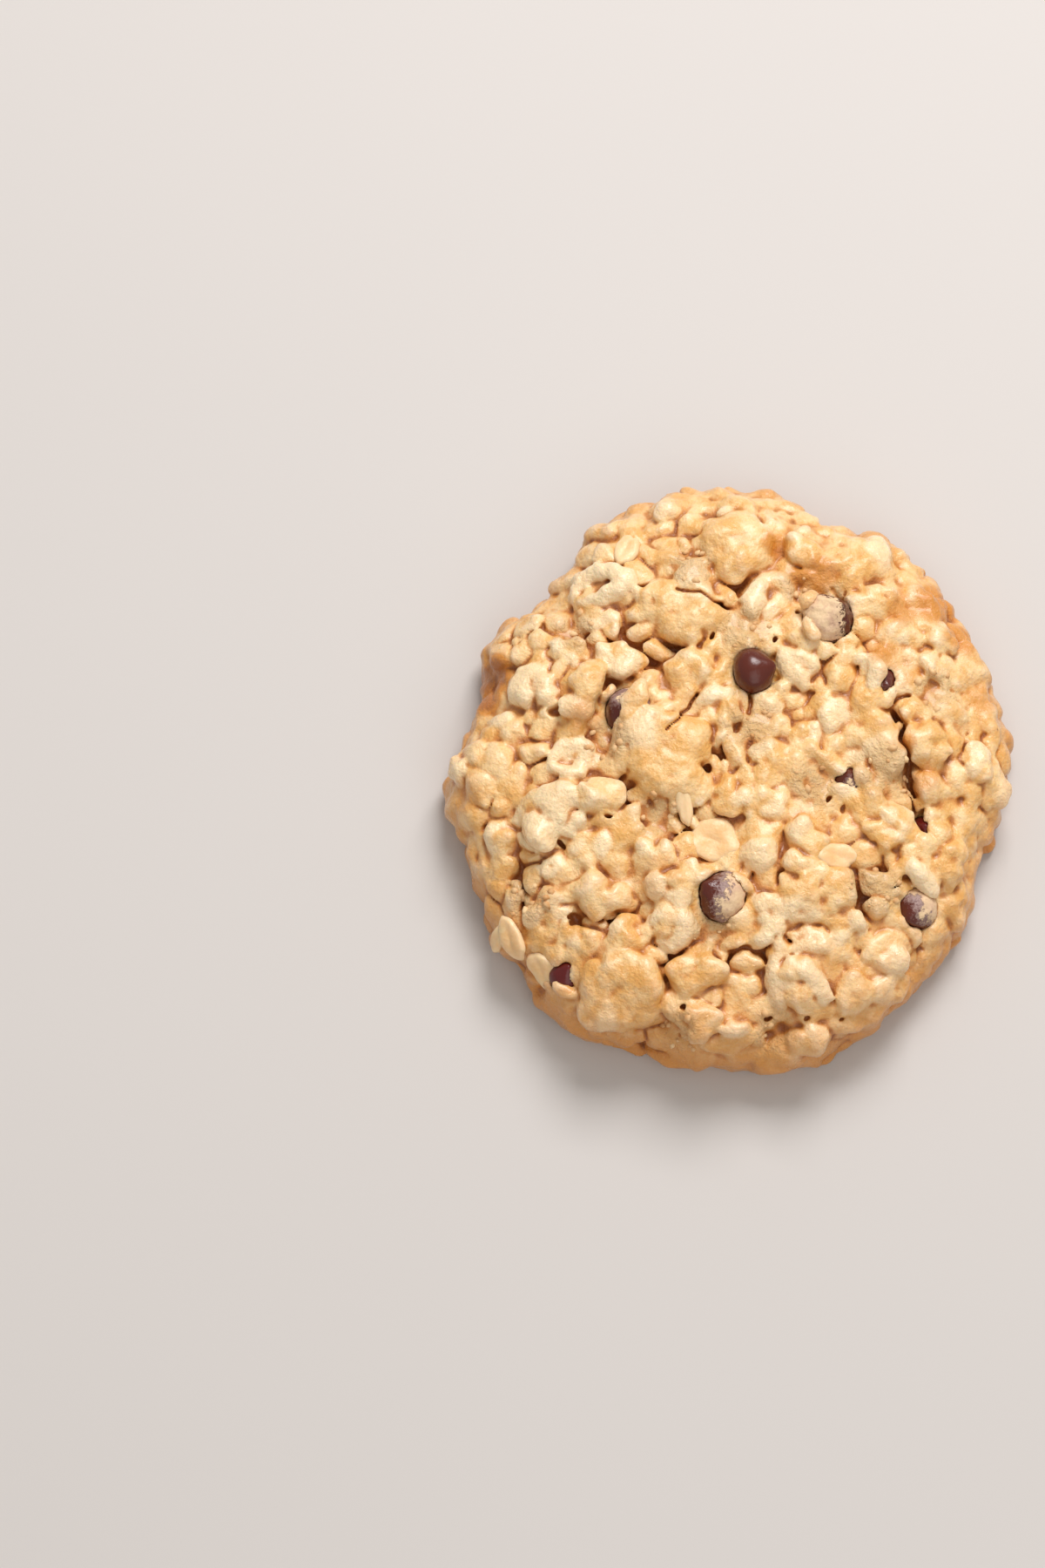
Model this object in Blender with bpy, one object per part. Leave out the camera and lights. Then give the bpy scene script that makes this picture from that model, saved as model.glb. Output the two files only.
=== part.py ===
"""Oatmeal cookie with chocolate chips, lying on its flat underside.

Metres, +Z up. The origin is on the flat underside, in the middle of the cookie, and +Y is away from
the side that faces the viewer. The dough and the oats baked onto it are one solid, and each chip that
shows is a solid of its own, seated in a pocket.
"""

import math
import random
from typing import NamedTuple

import bmesh
import bpy
import numpy as np
from mathutils import Matrix, Vector

MM = 0.001
GOLDEN_ANGLE = math.pi * (3 - math.sqrt(5))

# Dough: the reach of its outline from the middle, at equal turns from +X, and its side profile
OUTLINE_MM = (
    49.0, 49.0, 50.0, 50.5, 52.5, 51.5, 50.5, 53.5, 53.0, 52.0,
    50.5, 45.0, 48.0, 46.5, 45.5, 48.5, 47.5, 46.5, 49.5, 49.0,
    51.5, 50.0, 50.5, 51.5, 52.5, 50.5, 49.5, 49.0, 47.5, 47.0,
)
OATS_PAST_DOUGH = 1.1 * MM
CROWN_HEIGHT = 18.4 * MM
WIDEST_HEIGHT = 5.2 * MM
UNDERSIDE_SHARE = 0.925
CROWN_FLATNESS = 3.4
FLANK_ROUNDNESS = 2.1
PROFILE_STEPS = 240

# Relief of the dough: long swells all over, and crevices between the mounds
SWELL_WAVES = 9
SWELL_SHORTEST = 11.0 * MM
SWELL_GROWTH = 0.13
SWELL_HEIGHT = 0.62 * MM

# Mesh sizes
DOUGH_SUBDIVISIONS = 6
DOUGH_FACES = 3200
OAT_SUBDIVISIONS = 2
COOKIE_FACES = 9950
CHIP_SIDES = 12
CHIP_TURNS = (0.30, 0.80, 1.30, 1.75, 2.20, 2.60, 2.95)

# Oats: how thick they are under their coat of dough, and how far they are sunk into it
COATED_THICKNESS = 3.3 * MM
COATED_SUNK = 0.28 * MM
DOUGH_LUMP_THICKNESS = 5.6 * MM
DOUGH_LUMP_SUNK = 1.3 * MM
BARE_THICKNESS = 2.0 * MM
BARE_LIFT = 0.75 * MM

# Oats strewn over what is left bare
STREWN_SEED = 41
STREWN_COUNT = 56
STREWN_TRIES = 4000
STREWN_SPACING = 0.80
STREWN_REACH = 0.70
CHIP_CLEARANCE = 5.2 * MM

# Chocolate chips and the pockets that they sit in
CHIP_WIDTH = 7.8 * MM
CHIP_FLATNESS = 0.86
CHIP_TIP = 1.1 * MM
TIP_WIDTH = 0.40
POCKET_GAP = 0.3 * MM


class Oat(NamedTuple):
    """An oat or a lump on the dough: its middle, size and heading, in millimetres and degrees."""

    x: float
    y: float
    length: float
    width: float
    heading: float


class Crevice(NamedTuple):
    """A crevice in the crown: its depth and half width, and the points that it runs through, in mm."""

    depth: float
    half_width: float
    points: tuple


class Chip(NamedTuple):
    """A chip: its middle, how high that stands over the crown, and where its tip points."""

    x: float
    y: float
    lift: float
    heading: float
    tip_rise: float
    size: float


# Oat flakes that show bare
BARE_OATS = (
    Oat(-17, 39, 7, 4, 80), Oat(-22, 30, 10, 7, 38), Oat(7.5, 30.5, 11.5, 9.5, 72),
    Oat(13.5, 38, 7, 5, -20), Oat(-37, -28.5, 9.5, 6.5, 110), Oat(-31, -34, 7.5, 5, 108),
    Oat(-30, -9, 11.5, 9, -12), Oat(-2, -13, 10, 8, -10), Oat(19.5, -16, 7, 4.5, -6),
    Oat(34, -18.5, 6, 4, -38), Oat(8, -38, 8.5, 4, 82), Oat(12.5, -37.5, 10, 4, 122),
    Oat(-10, -28, 9.5, 8.5, 20), Oat(25, 17, 6.5, 4, -50), Oat(7.5, 12.5, 8.5, 5.5, 40),
    Oat(-26, 1, 11.5, 6.5, 8),
)

# Wide smooth lumps of dough
DOUGH_LUMPS = (
    Oat(-11.5, 1.5, 16.5, 14.5, 60), Oat(-7.5, 28, 15, 12.5, -70), Oat(2, 40.5, 12.5, 10.5, 10),
    Oat(30.5, 18, 11.5, 10.5, -20), Oat(16, -23, 12.5, 10.5, 60), Oat(-18.5, -38.5, 16.5, 14.5, -20),
    Oat(22, 38, 13, 8.5, -20), Oat(26, 5.5, 11.5, 7.5, 80),
)

# Oats under a coat of dough
COATED_OATS = (
    Oat(2, 47.5, 7, 6, 10), Oat(-18.5, 19, 10.5, 7, -8), Oat(-33, 15, 11.5, 8, 75),
    Oat(-25, 12.5, 11, 6.5, 78), Oat(-38.5, 7.5, 8, 6.5, 10), Oat(-44, 2, 9, 6.5, 80),
    Oat(-12.5, 14, 7, 6.5, 0), Oat(-6.5, 17.5, 7.5, 6.5, 20), Oat(25, 29, 9.5, 7, 0),
    Oat(18, 10.5, 9.5, 7, -10), Oat(13.5, 4.5, 8.5, 6.5, 70), Oat(19.5, 2, 9.5, 8.5, 40),
    Oat(7, 1.5, 6.5, 5.5, 0), Oat(32, 9.5, 7, 6.5, 0), Oat(34.5, 4, 9.5, 8, -30),
    Oat(39.5, 9.5, 8, 7, 0), Oat(36, -4.5, 9.5, 8.5, 20), Oat(-21.5, -5, 8.5, 6.5, -10),
    Oat(-23.5, -14, 9.5, 7.5, 30), Oat(-12.5, -15.5, 8, 7, -60), Oat(-42.5, -17, 8, 5.5, -50),
    Oat(-22, -23, 11, 7, -20), Oat(-24.5, -30.5, 8, 6, -10), Oat(2, -39, 8.5, 6.5, -10),
    Oat(0.5, -5.5, 8, 7, 20), Oat(5.5, -13.5, 9.5, 7.5, 70), Oat(13.5, -13, 8.5, 6.5, 80),
    Oat(27.5, -11, 10, 8, 40), Oat(8, -26, 10, 6.5, -15), Oat(27.5, -31.5, 9, 7, 10),
    Oat(21, -40, 8.5, 7, 60), Oat(38, -16, 9.5, 5.5, -72),
)

CREVICES = (
    Crevice(2.8, 1.5, ((29, 9), (30.3, 4.7), (31.2, 0), (32.5, -4.6), (34, -10))),
    Crevice(2.2, 1.5, ((25.5, -19), (22.5, -24), (19, -28), (7, -32.5), (-9, -34), (-16, -28))),
    Crevice(2.8, 1.7, ((2, 32.5), (-3.5, 26), (-9, 21), (-12.5, 19), (-19, 24.5))),
    Crevice(2.4, 1.8, ((-20, 15), (-19.6, 7.8), (-17, 1.6), (-17, -5.3))),
    Crevice(2.4, 1.5, ((-36, -17), (-33, -24), (-28, -25.5), (-23, -27.5), (-17, -25))),
    Crevice(1.8, 1.2, ((1, 8.5), (-0.4, 3), (-4, -0.7), (-7, -5), (-8, -13))),
    Crevice(1.8, 1.2, ((-6, -16), (0, -17), (7, -20.5), (10.5, -19.7), (13, -24.7))),
)

CHIPS = {
    "chip_bare": Chip(4.6, 16.6, 1.3, 8, 30, 1.0),
    "chip_left": Chip(-17.0, 10.0, -1.0, 160, 50, 1.05),
    "chip_upper_right": Chip(17.5, 26.0, 0.4, 30, 60, 1.15),
    "chip_under_curl": Chip(26.4, 15.2, -1.8, -40, 60, 0.85),
    "chip_front": Chip(-1.0, -23.0, -0.3, 160, 40, 1.12),
    "chip_front_right": Chip(32.6, -24.2, -0.6, 250, 45, 0.98),
    "chip_buried": Chip(21.0, -2.6, -2.2, 100, 75, 0.8),
    "chip_in_gap": Chip(34.0, -10.6, -2.9, 90, 75, 0.8),
    "chip_by_oat": Chip(-27.6, -35.2, -1.6, 80, 75, 0.8),
}


def outline_radius(angle):
    """Reach of the dough's outline at an angle from +X, on a smooth closed curve through OUTLINE_MM."""
    count = len(OUTLINE_MM)
    place = (np.asarray(angle) % math.tau) / math.tau * count
    start = np.floor(place).astype(int)
    f = place - start
    reach = np.array(OUTLINE_MM) * MM - OATS_PAST_DOUGH
    a, b, c, d = (reach[(start + step) % count] for step in (-1, 0, 1, 2))
    bend = (2 * a - 5 * b + 4 * c - d) * f**2 + (3 * b - a - 3 * c + d) * f**3
    return b + 0.5 * ((c - a) * f + bend)


def side_profile():
    """The dough's profile from the crown to the middle of the underside.

    Returns shares of the outline's reach, heights, and the share of the skin's area up to each point.
    """
    turn = np.linspace(0, math.pi / 2, PROFILE_STEPS)
    crown_share = np.sin(turn) ** (2 / CROWN_FLATNESS)
    crown_height = WIDEST_HEIGHT + (CROWN_HEIGHT - WIDEST_HEIGHT) * np.cos(turn) ** (2 / FLANK_ROUNDNESS)
    under_share = UNDERSIDE_SHARE + (1 - UNDERSIDE_SHARE) * np.cos(turn)
    under_height = WIDEST_HEIGHT * (1 - np.sin(turn))
    inwards = np.linspace(UNDERSIDE_SHARE, 0, PROFILE_STEPS)[1:]
    share = np.concatenate([crown_share, under_share[1:], inwards])
    height = np.concatenate([crown_height, under_height[1:], np.zeros(PROFILE_STEPS - 1)])
    mean_reach = np.mean(OUTLINE_MM) * MM
    run = np.hypot(np.diff(share) * mean_reach, np.diff(height))
    area = np.concatenate([[0], np.cumsum(run * (share[1:] + share[:-1]))])
    return share, height, area / area[-1]


REACH_SHARES, HEIGHTS, AREA_SHARES = side_profile()
CROWN_POINTS = PROFILE_STEPS
SKIN_STEP = 0.004


def skin_point(angle, area_share):
    """Point of the dough's skin at an angle, that share of the whole area out from the crown."""
    reach = outline_radius(angle) * np.interp(area_share, AREA_SHARES, REACH_SHARES)
    height = np.interp(area_share, AREA_SHARES, HEIGHTS)
    return np.stack([reach * np.cos(angle), reach * np.sin(angle), height], axis=-1)


def skin_frame(angle, area_share):
    """Point, outward normal and sideways direction of the skin."""
    point = skin_point(angle, area_share)
    outwards = skin_point(angle, area_share + SKIN_STEP) - skin_point(angle, max(0, area_share - SKIN_STEP))
    sideways = np.array([-math.sin(angle), math.cos(angle), 0])
    normal = np.cross(outwards, sideways)
    return Vector(point), Vector(normal).normalized(), Vector(sideways)


def area_share_at(x, y):
    """How far out from the crown the point of the crown over (x, y) is, as a share of the skin's area."""
    share = math.hypot(x, y) / float(outline_radius(math.atan2(y, x)))
    return float(np.interp(share, REACH_SHARES[:CROWN_POINTS], AREA_SHARES[:CROWN_POINTS]))


def swell(points):
    """How far the skin stands out at each point: long waves that cross each other all ways."""
    total = np.zeros(len(points))
    for wave in range(SWELL_WAVES):
        heading = GOLDEN_ANGLE * wave
        rise = 0.6 * math.sin(2.0 * wave)
        direction = np.array([math.cos(heading), math.sin(heading), rise])
        length = SWELL_SHORTEST * (1 + SWELL_GROWTH * wave)
        total += np.sin(math.tau * points @ direction / length + 1.7 * wave)
    return SWELL_HEIGHT * total / math.sqrt(SWELL_WAVES / 2)


def distance_to_path(points, path):
    """Distance in the XY plane from each point to a path of straight runs."""
    nearest = np.full(len(points), np.inf)
    for start, end in zip(path[:-1], path[1:]):
        run = end - start
        along = np.clip((points - start) @ run / (run @ run), 0, 1)
        nearest = np.minimum(nearest, np.linalg.norm(points - start - along[:, None] * run, axis=1))
    return nearest


def crevice_depth(points):
    """How far the crevices sink the skin at each point. They fade out down the flank."""
    depth = np.zeros(len(points))
    for crevice in CREVICES:
        away = distance_to_path(points[:, :2], np.array(crevice.points) * MM)
        depth = np.maximum(depth, crevice.depth * MM * np.exp(-((away / (crevice.half_width * MM)) ** 2)))
    return depth * np.clip((points[:, 2] - WIDEST_HEIGHT) / WIDEST_HEIGHT, 0, 1)


def new_material(name, colour, roughness):
    """Material of one colour with that roughness."""
    material = bpy.data.materials.new(name)
    material.use_nodes = True
    shader = material.node_tree.nodes["Principled BSDF"]
    shader.inputs["Base Color"].default_value = (*colour, 1)
    shader.inputs["Roughness"].default_value = roughness
    return material


def new_object(name, bm, material=None):
    """Object in the scene made of a bmesh, which is freed."""
    mesh = bpy.data.meshes.new(name)
    bm.to_mesh(mesh)
    bm.free()
    obj = bpy.data.objects.new(name, mesh)
    bpy.context.scene.collection.objects.link(obj)
    if material:
        mesh.materials.append(material)
    return obj


def apply_modifiers(obj):
    """Makes the object's mesh what its modifiers give, and removes them."""
    bpy.context.view_layer.update()
    evaluated = obj.evaluated_get(bpy.context.evaluated_depsgraph_get())
    mesh = bpy.data.meshes.new_from_object(evaluated)
    obj.modifiers.clear()
    obj.data = mesh


def combine(obj, others, operation):
    """Joins or cuts the object with a collection of others in one Boolean, and removes them."""
    collection = bpy.data.collections.new(f"{operation} pieces")
    bpy.context.scene.collection.children.link(collection)
    for other in others:
        bpy.context.scene.collection.objects.unlink(other)
        collection.objects.link(other)
    boolean = obj.modifiers.new(operation, "BOOLEAN")
    boolean.operation = operation
    boolean.operand_type = "COLLECTION"
    boolean.collection = collection
    boolean.solver = "MANIFOLD"
    apply_modifiers(obj)
    for other in others:
        bpy.data.objects.remove(other)
    bpy.data.collections.remove(collection)


def thin_out(obj, faces):
    """Brings a mesh down to about that many faces where they tell the least."""
    thin = obj.modifiers.new("fewer faces", "DECIMATE")
    thin.ratio = min(1, faces / sum(len(face.vertices) - 2 for face in obj.data.polygons))
    apply_modifiers(obj)


def dough_body(material):
    """The dough alone: a ball of even triangles laid over the profile, then swelled and creviced."""
    bm = bmesh.new()
    bmesh.ops.create_icosphere(bm, subdivisions=DOUGH_SUBDIVISIONS, radius=1)
    ball = np.array([vert.co for vert in bm.verts])
    angle = np.arctan2(ball[:, 1], ball[:, 0])
    skin = skin_point(angle, (1 - ball[:, 2]) / 2)
    outwards = skin - np.array([0, 0, WIDEST_HEIGHT])
    outwards[:, :2] *= (CROWN_HEIGHT / np.mean(OUTLINE_MM) / MM) ** 2
    outwards /= np.linalg.norm(outwards, axis=1, keepdims=True)
    on_top = np.clip(skin[:, 2] / WIDEST_HEIGHT, 0, 1)
    shaped = skin + outwards * (swell(skin) * on_top)[:, None]
    shaped[:, 2] -= crevice_depth(skin)
    for vert, place in zip(bm.verts, shaped):
        vert.co = place
    bmesh.ops.recalc_face_normals(bm, faces=bm.faces)
    obj = new_object("cookie", bm, material)
    thin_out(obj, DOUGH_FACES)
    return obj


def rounded_lump(name, frame, oat, thickness, lift):
    """A flattened ball of an oat's size, lying on the skin's frame with its middle lifted that far."""
    point, normal, sideways = frame
    heading = math.radians(oat.heading)
    level = Vector((math.cos(heading), math.sin(heading), 0))
    along = (level - normal * level.dot(normal)).normalized()
    if normal.z < 0.5:
        along = (sideways * math.cos(heading) + normal.cross(sideways) * math.sin(heading)).normalized()
    across = normal.cross(along)
    sizes = Matrix.Diagonal((oat.length * MM / 2, oat.width * MM / 2, thickness / 2)).to_4x4()
    turn = Matrix((along, across, normal)).transposed().to_4x4()
    bm = bmesh.new()
    bmesh.ops.create_icosphere(bm, subdivisions=OAT_SUBDIVISIONS, radius=1)
    bmesh.ops.transform(bm, matrix=Matrix.Translation(point + normal * lift) @ turn @ sizes, verts=bm.verts)
    return new_object(name, bm)


def frame_over(x, y):
    """Frame of the skin over (x, y), sunk where a crevice passes and lifted by the swell."""
    point, normal, sideways = skin_frame(math.atan2(y, x), area_share_at(x, y))
    place = np.array([point])
    point = point + normal * float(swell(place)[0])
    point.z -= 0.5 * float(crevice_depth(place)[0])
    return point, normal, sideways


def placed_lumps():
    """The lumps and oats that have a place of their own, each with its thickness and lift."""
    kinds = (
        (DOUGH_LUMPS, DOUGH_LUMP_THICKNESS, -DOUGH_LUMP_SUNK),
        (COATED_OATS, COATED_THICKNESS, -COATED_SUNK),
        (BARE_OATS, BARE_THICKNESS, BARE_LIFT),
    )
    return [
        (frame_over(oat.x * MM, oat.y * MM), oat, thickness, lift)
        for oats, thickness, lift in kinds
        for oat in oats
    ]


def strewn_oats():
    """Coated oats over the rest of the skin, evenly apart, by a seeded draw."""
    draw = random.Random(STREWN_SEED)
    taken = [(frame_over(oat.x * MM, oat.y * MM)[0], oat.length * MM) for oat in BARE_OATS + COATED_OATS]
    taken += [(frame_over(oat.x * MM, oat.y * MM)[0], oat.width * MM * 0.7) for oat in DOUGH_LUMPS]
    taken += [(frame_over(chip.x * MM, chip.y * MM)[0], 2 * CHIP_CLEARANCE) for chip in CHIPS.values()]
    found = []
    for _ in range(STREWN_TRIES):
        angle = draw.uniform(0, math.tau)
        area_share = draw.uniform(0, STREWN_REACH)
        length = draw.uniform(6.5, 9.5)
        oat = Oat(0, 0, length, length * draw.uniform(0.62, 0.85), draw.uniform(0, 180))
        frame = skin_frame(angle, area_share)
        clear = all(
            (frame[0] - place).length > STREWN_SPACING * (length * MM + other) / 2 for place, other in taken
        )
        if clear and len(found) < STREWN_COUNT:
            taken.append((frame[0], length * MM))
            found.append((frame, oat, COATED_THICKNESS, -COATED_SUNK))
    return found


def chip_body(name, chip, gap=0.0, material=None):
    """A chip: a round drop with a small tip. A gap makes it larger all round."""
    reach = CHIP_WIDTH / 2 * chip.size + gap
    tip_height = CHIP_TIP * chip.size
    bm = bmesh.new()
    loops = []
    for turn in CHIP_TURNS:
        radius = reach * math.sin(turn)
        tip_rise = tip_height * math.exp(-(((math.pi - turn) / TIP_WIDTH) ** 2))
        level = tip_rise - reach * CHIP_FLATNESS * math.cos(turn)
        angles = [math.tau * side / CHIP_SIDES for side in range(CHIP_SIDES)]
        loops.append([bm.verts.new((radius * math.cos(a), radius * math.sin(a), level)) for a in angles])
    for low, high in zip(loops[:-1], loops[1:]):
        for side in range(CHIP_SIDES):
            after = (side + 1) % CHIP_SIDES
            bm.faces.new((low[side], low[after], high[after], high[side]))
    bm.faces.new(loops[0][::-1])
    bm.faces.new(loops[-1])
    point = frame_over(chip.x * MM, chip.y * MM)[0]
    heading, rise = math.radians(chip.heading), math.radians(chip.tip_rise)
    tip = Vector((math.cos(heading) * math.cos(rise), math.sin(heading) * math.cos(rise), math.sin(rise)))
    turn = Vector((0, 0, 1)).rotation_difference(tip).to_matrix().to_4x4()
    place = Matrix.Translation(point + Vector((0, 0, chip.lift * MM)))
    bmesh.ops.transform(bm, matrix=place @ turn, verts=bm.verts)
    return new_object(name, bm, material)


def floor_cutter():
    """A block whose top is the plane that the cookie rests on."""
    size = 4 * np.max(OUTLINE_MM) * MM
    bm = bmesh.new()
    bmesh.ops.create_cube(bm, size=size, matrix=Matrix.Translation((0, 0, -size / 2)))
    return new_object("floor", bm)


def build_cookie(material):
    """The cookie: dough, oats fused on, pockets for the chips, and a flat underside."""
    cookie = dough_body(material)
    places = placed_lumps() + strewn_oats()
    combine(cookie, [rounded_lump(f"lump {number}", *place) for number, place in enumerate(places)], "UNION")
    thin_out(cookie, COOKIE_FACES)
    pockets = [chip_body(f"pocket {name}", chip, gap=POCKET_GAP) for name, chip in CHIPS.items()]
    combine(cookie, [*pockets, floor_cutter()], "DIFFERENCE")
    cookie.data.shade_smooth()
    cookie.data.set_sharp_from_angle(angle=math.radians(50))
    return cookie


def main():
    """Clears the scene, then builds the cookie and its chips."""
    for obj in list(bpy.data.objects):
        bpy.data.objects.remove(obj)
    baked = new_material("baked dough", (0.70, 0.45, 0.21), 0.55)
    chocolate = new_material("milk chocolate", (0.085, 0.028, 0.016), 0.38)
    build_cookie(baked)
    for name, chip in CHIPS.items():
        body = chip_body(name, chip, material=chocolate)
        body.data.shade_smooth()
        body.data.set_sharp_from_angle(angle=math.radians(50))


main()
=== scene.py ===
"""Looks of an oatmeal cookie with chocolate chips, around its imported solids.

The dough is sculpted in a block of small cells: a thick round body, lumps and coated oats grown out
of it, crevices, cracks and pores cut into it, and a bed for each chip. Its skin becomes one mesh. Bare
oat flakes, crumbs and the chips are pieces of their own. Sizes in the sculpt are millimetres, and the
meshes are in metres.
"""

from __future__ import annotations

import logging
import math
import random
from collections.abc import Iterable, Sequence
from dataclasses import dataclass, field, replace
from enum import Enum
from typing import NamedTuple

import bpy
import numpy as np
from mathutils import Matrix, Vector

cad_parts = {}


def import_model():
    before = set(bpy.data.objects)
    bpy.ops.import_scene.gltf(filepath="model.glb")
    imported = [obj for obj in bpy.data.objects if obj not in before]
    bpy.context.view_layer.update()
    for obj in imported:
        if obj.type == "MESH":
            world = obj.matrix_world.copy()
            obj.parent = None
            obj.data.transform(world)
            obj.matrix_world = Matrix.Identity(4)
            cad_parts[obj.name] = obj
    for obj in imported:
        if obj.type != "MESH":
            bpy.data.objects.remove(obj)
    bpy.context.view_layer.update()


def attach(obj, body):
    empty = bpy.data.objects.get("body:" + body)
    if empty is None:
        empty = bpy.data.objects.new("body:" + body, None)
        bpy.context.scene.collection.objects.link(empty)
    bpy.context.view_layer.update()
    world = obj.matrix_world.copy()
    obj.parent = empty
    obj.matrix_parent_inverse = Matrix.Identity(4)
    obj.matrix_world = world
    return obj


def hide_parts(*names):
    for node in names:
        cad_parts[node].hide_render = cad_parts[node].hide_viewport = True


LOG = logging.getLogger("cookie")
MM = 0.001
GOLDEN_ANGLE = math.pi * (3 - math.sqrt(5))
BODY = "root"

Array = np.ndarray
Colour = tuple[float, float, float]
Place = tuple[float, float, float]
Frame = tuple[Array, Array, Array]
Socket = bpy.types.NodeSocket


def from_srgb(red: float, green: float, blue: float) -> Colour:
    """Linear colour of a display colour.

    Args:
        red: Red from 0 to 255.
        green: Green from 0 to 255.
        blue: Blue from 0 to 255.

    Returns:
        The linear red, green and blue.
    """

    def linear(value: float) -> float:
        """One channel, made linear."""
        share = value / 255
        return share / 12.92 if share <= 0.04045 else ((share + 0.055) / 1.055) ** 2.4

    return linear(red), linear(green), linear(blue)


class Oat(NamedTuple):
    """An oat or a lump on the dough: its middle, size and heading, in millimetres and degrees."""

    x: float
    y: float
    length: float
    width: float
    heading: float


class Crevice(NamedTuple):
    """A crevice in the crown: its depth and half width, and the points that it runs through."""

    depth: float
    half_width: float
    points: tuple[tuple[float, float], ...]


class Ridge(NamedTuple):
    """A rounded fold or finger of oat: its width, lift and tone, and the points that it runs through."""

    width: float
    lift: float
    tone: float
    points: tuple[tuple[float, float], ...]


class Hole(NamedTuple):
    """A hole or pore in the crown: its middle, half width, depth and how long it is for its width."""

    x: float
    y: float
    half_width: float
    depth: float
    stretch: float
    heading: float


class ChipCoat(Enum):
    """What lies on a chip: the amount of grey frost, and of dough left on it."""

    CLEAN = (0.04, 0.0)
    DUSTED = (0.50, 0.25)
    FROSTED = (0.75, 0.45)
    FILMED = (0.50, 0.70)
    WARM = (0.05, 0.15)


class Chip(NamedTuple):
    """A chip: its middle, lift over the crown, where its tip points, size, coat and the coat's side."""

    x: float
    y: float
    lift: float
    heading: float
    tip_rise: float
    size: float
    coat: ChipCoat
    coat_heading: float


# The layout of the crust, the same as in the solids: flakes, lumps, coated oats, crevices and chips
BARE_OATS = (
    Oat(-17, 39, 7, 4, 80), Oat(-22, 30, 10, 7, 38), Oat(7.5, 30.5, 11.5, 9.5, 72),
    Oat(13.5, 38, 7, 5, -20), Oat(-37, -28.5, 9.5, 6.5, 110), Oat(-31, -34, 7.5, 5, 108),
    Oat(-30, -9, 11.5, 9, -12), Oat(-2, -13, 10, 8, -10), Oat(19.5, -16, 7, 4.5, -6),
    Oat(34, -18.5, 6, 4, -38), Oat(8, -38, 8.5, 4, 82), Oat(12.5, -37.5, 10, 4, 122),
    Oat(-10, -28, 9.5, 8.5, 20), Oat(25, 17, 6.5, 4, -50), Oat(7.5, 12.5, 8.5, 5.5, 40),
    Oat(-26, 1, 11.5, 6.5, 8),
)
DOUGH_LUMPS = (
    Oat(-11.5, 1.5, 16.5, 14.5, 60), Oat(-7.5, 28, 15, 12.5, -70), Oat(2, 40.5, 12.5, 10.5, 10),
    Oat(30.5, 18, 11.5, 10.5, -20), Oat(16, -23, 12.5, 10.5, 60), Oat(-18.5, -38.5, 16.5, 14.5, -20),
    Oat(22, 38, 13, 8.5, -20), Oat(26, 5.5, 11.5, 7.5, 80),
)
COATED_OATS = (
    Oat(2, 47.5, 7, 6, 10), Oat(-18.5, 19, 10.5, 7, -8), Oat(-33, 15, 11.5, 8, 75),
    Oat(-25, 12.5, 11, 6.5, 78), Oat(-38.5, 7.5, 8, 6.5, 10), Oat(-44, 2, 9, 6.5, 80),
    Oat(-12.5, 14, 7, 6.5, 0), Oat(-6.5, 17.5, 7.5, 6.5, 20), Oat(25, 29, 9.5, 7, 0),
    Oat(18, 10.5, 9.5, 7, -10), Oat(13.5, 4.5, 8.5, 6.5, 70), Oat(19.5, 2, 9.5, 8.5, 40),
    Oat(7, 1.5, 6.5, 5.5, 0), Oat(32, 9.5, 7, 6.5, 0), Oat(34.5, 4, 9.5, 8, -30),
    Oat(39.5, 9.5, 8, 7, 0), Oat(36, -4.5, 9.5, 8.5, 20), Oat(-21.5, -5, 8.5, 6.5, -10),
    Oat(-23.5, -14, 9.5, 7.5, 30), Oat(-12.5, -15.5, 8, 7, -60), Oat(-42.5, -17, 8, 5.5, -50),
    Oat(-22, -23, 11, 7, -20), Oat(-24.5, -30.5, 8, 6, -10), Oat(2, -39, 8.5, 6.5, -10),
    Oat(0.5, -5.5, 8, 7, 20), Oat(5.5, -13.5, 9.5, 7.5, 70), Oat(13.5, -13, 8.5, 6.5, 80),
    Oat(27.5, -11, 10, 8, 40), Oat(8, -26, 10, 6.5, -15), Oat(27.5, -31.5, 9, 7, 10),
    Oat(21, -40, 8.5, 7, 60), Oat(38, -16, 9.5, 5.5, -72),
)
CREVICES = (
    Crevice(2.8, 1.5, ((29, 9), (30.3, 4.7), (31.2, 0), (32.5, -4.6), (34, -10))),
    Crevice(2.2, 1.5, ((25.5, -19), (22.5, -24), (19, -28), (7, -32.5), (-9, -34), (-16, -28))),
    Crevice(2.8, 1.7, ((2, 32.5), (-3.5, 26), (-9, 21), (-12.5, 19), (-19, 24.5))),
    Crevice(2.4, 1.8, ((-20, 15), (-19.6, 7.8), (-17, 1.6), (-17, -5.3))),
    Crevice(2.4, 1.5, ((-36, -17), (-33, -24), (-28, -25.5), (-23, -27.5), (-17, -25))),
    Crevice(1.8, 1.2, ((1, 8.5), (-0.4, 3), (-4, -0.7), (-7, -5), (-8, -13))),
    Crevice(1.8, 1.2, ((-6, -16), (0, -17), (7, -20.5), (10.5, -19.7), (13, -24.7))),
)
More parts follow.
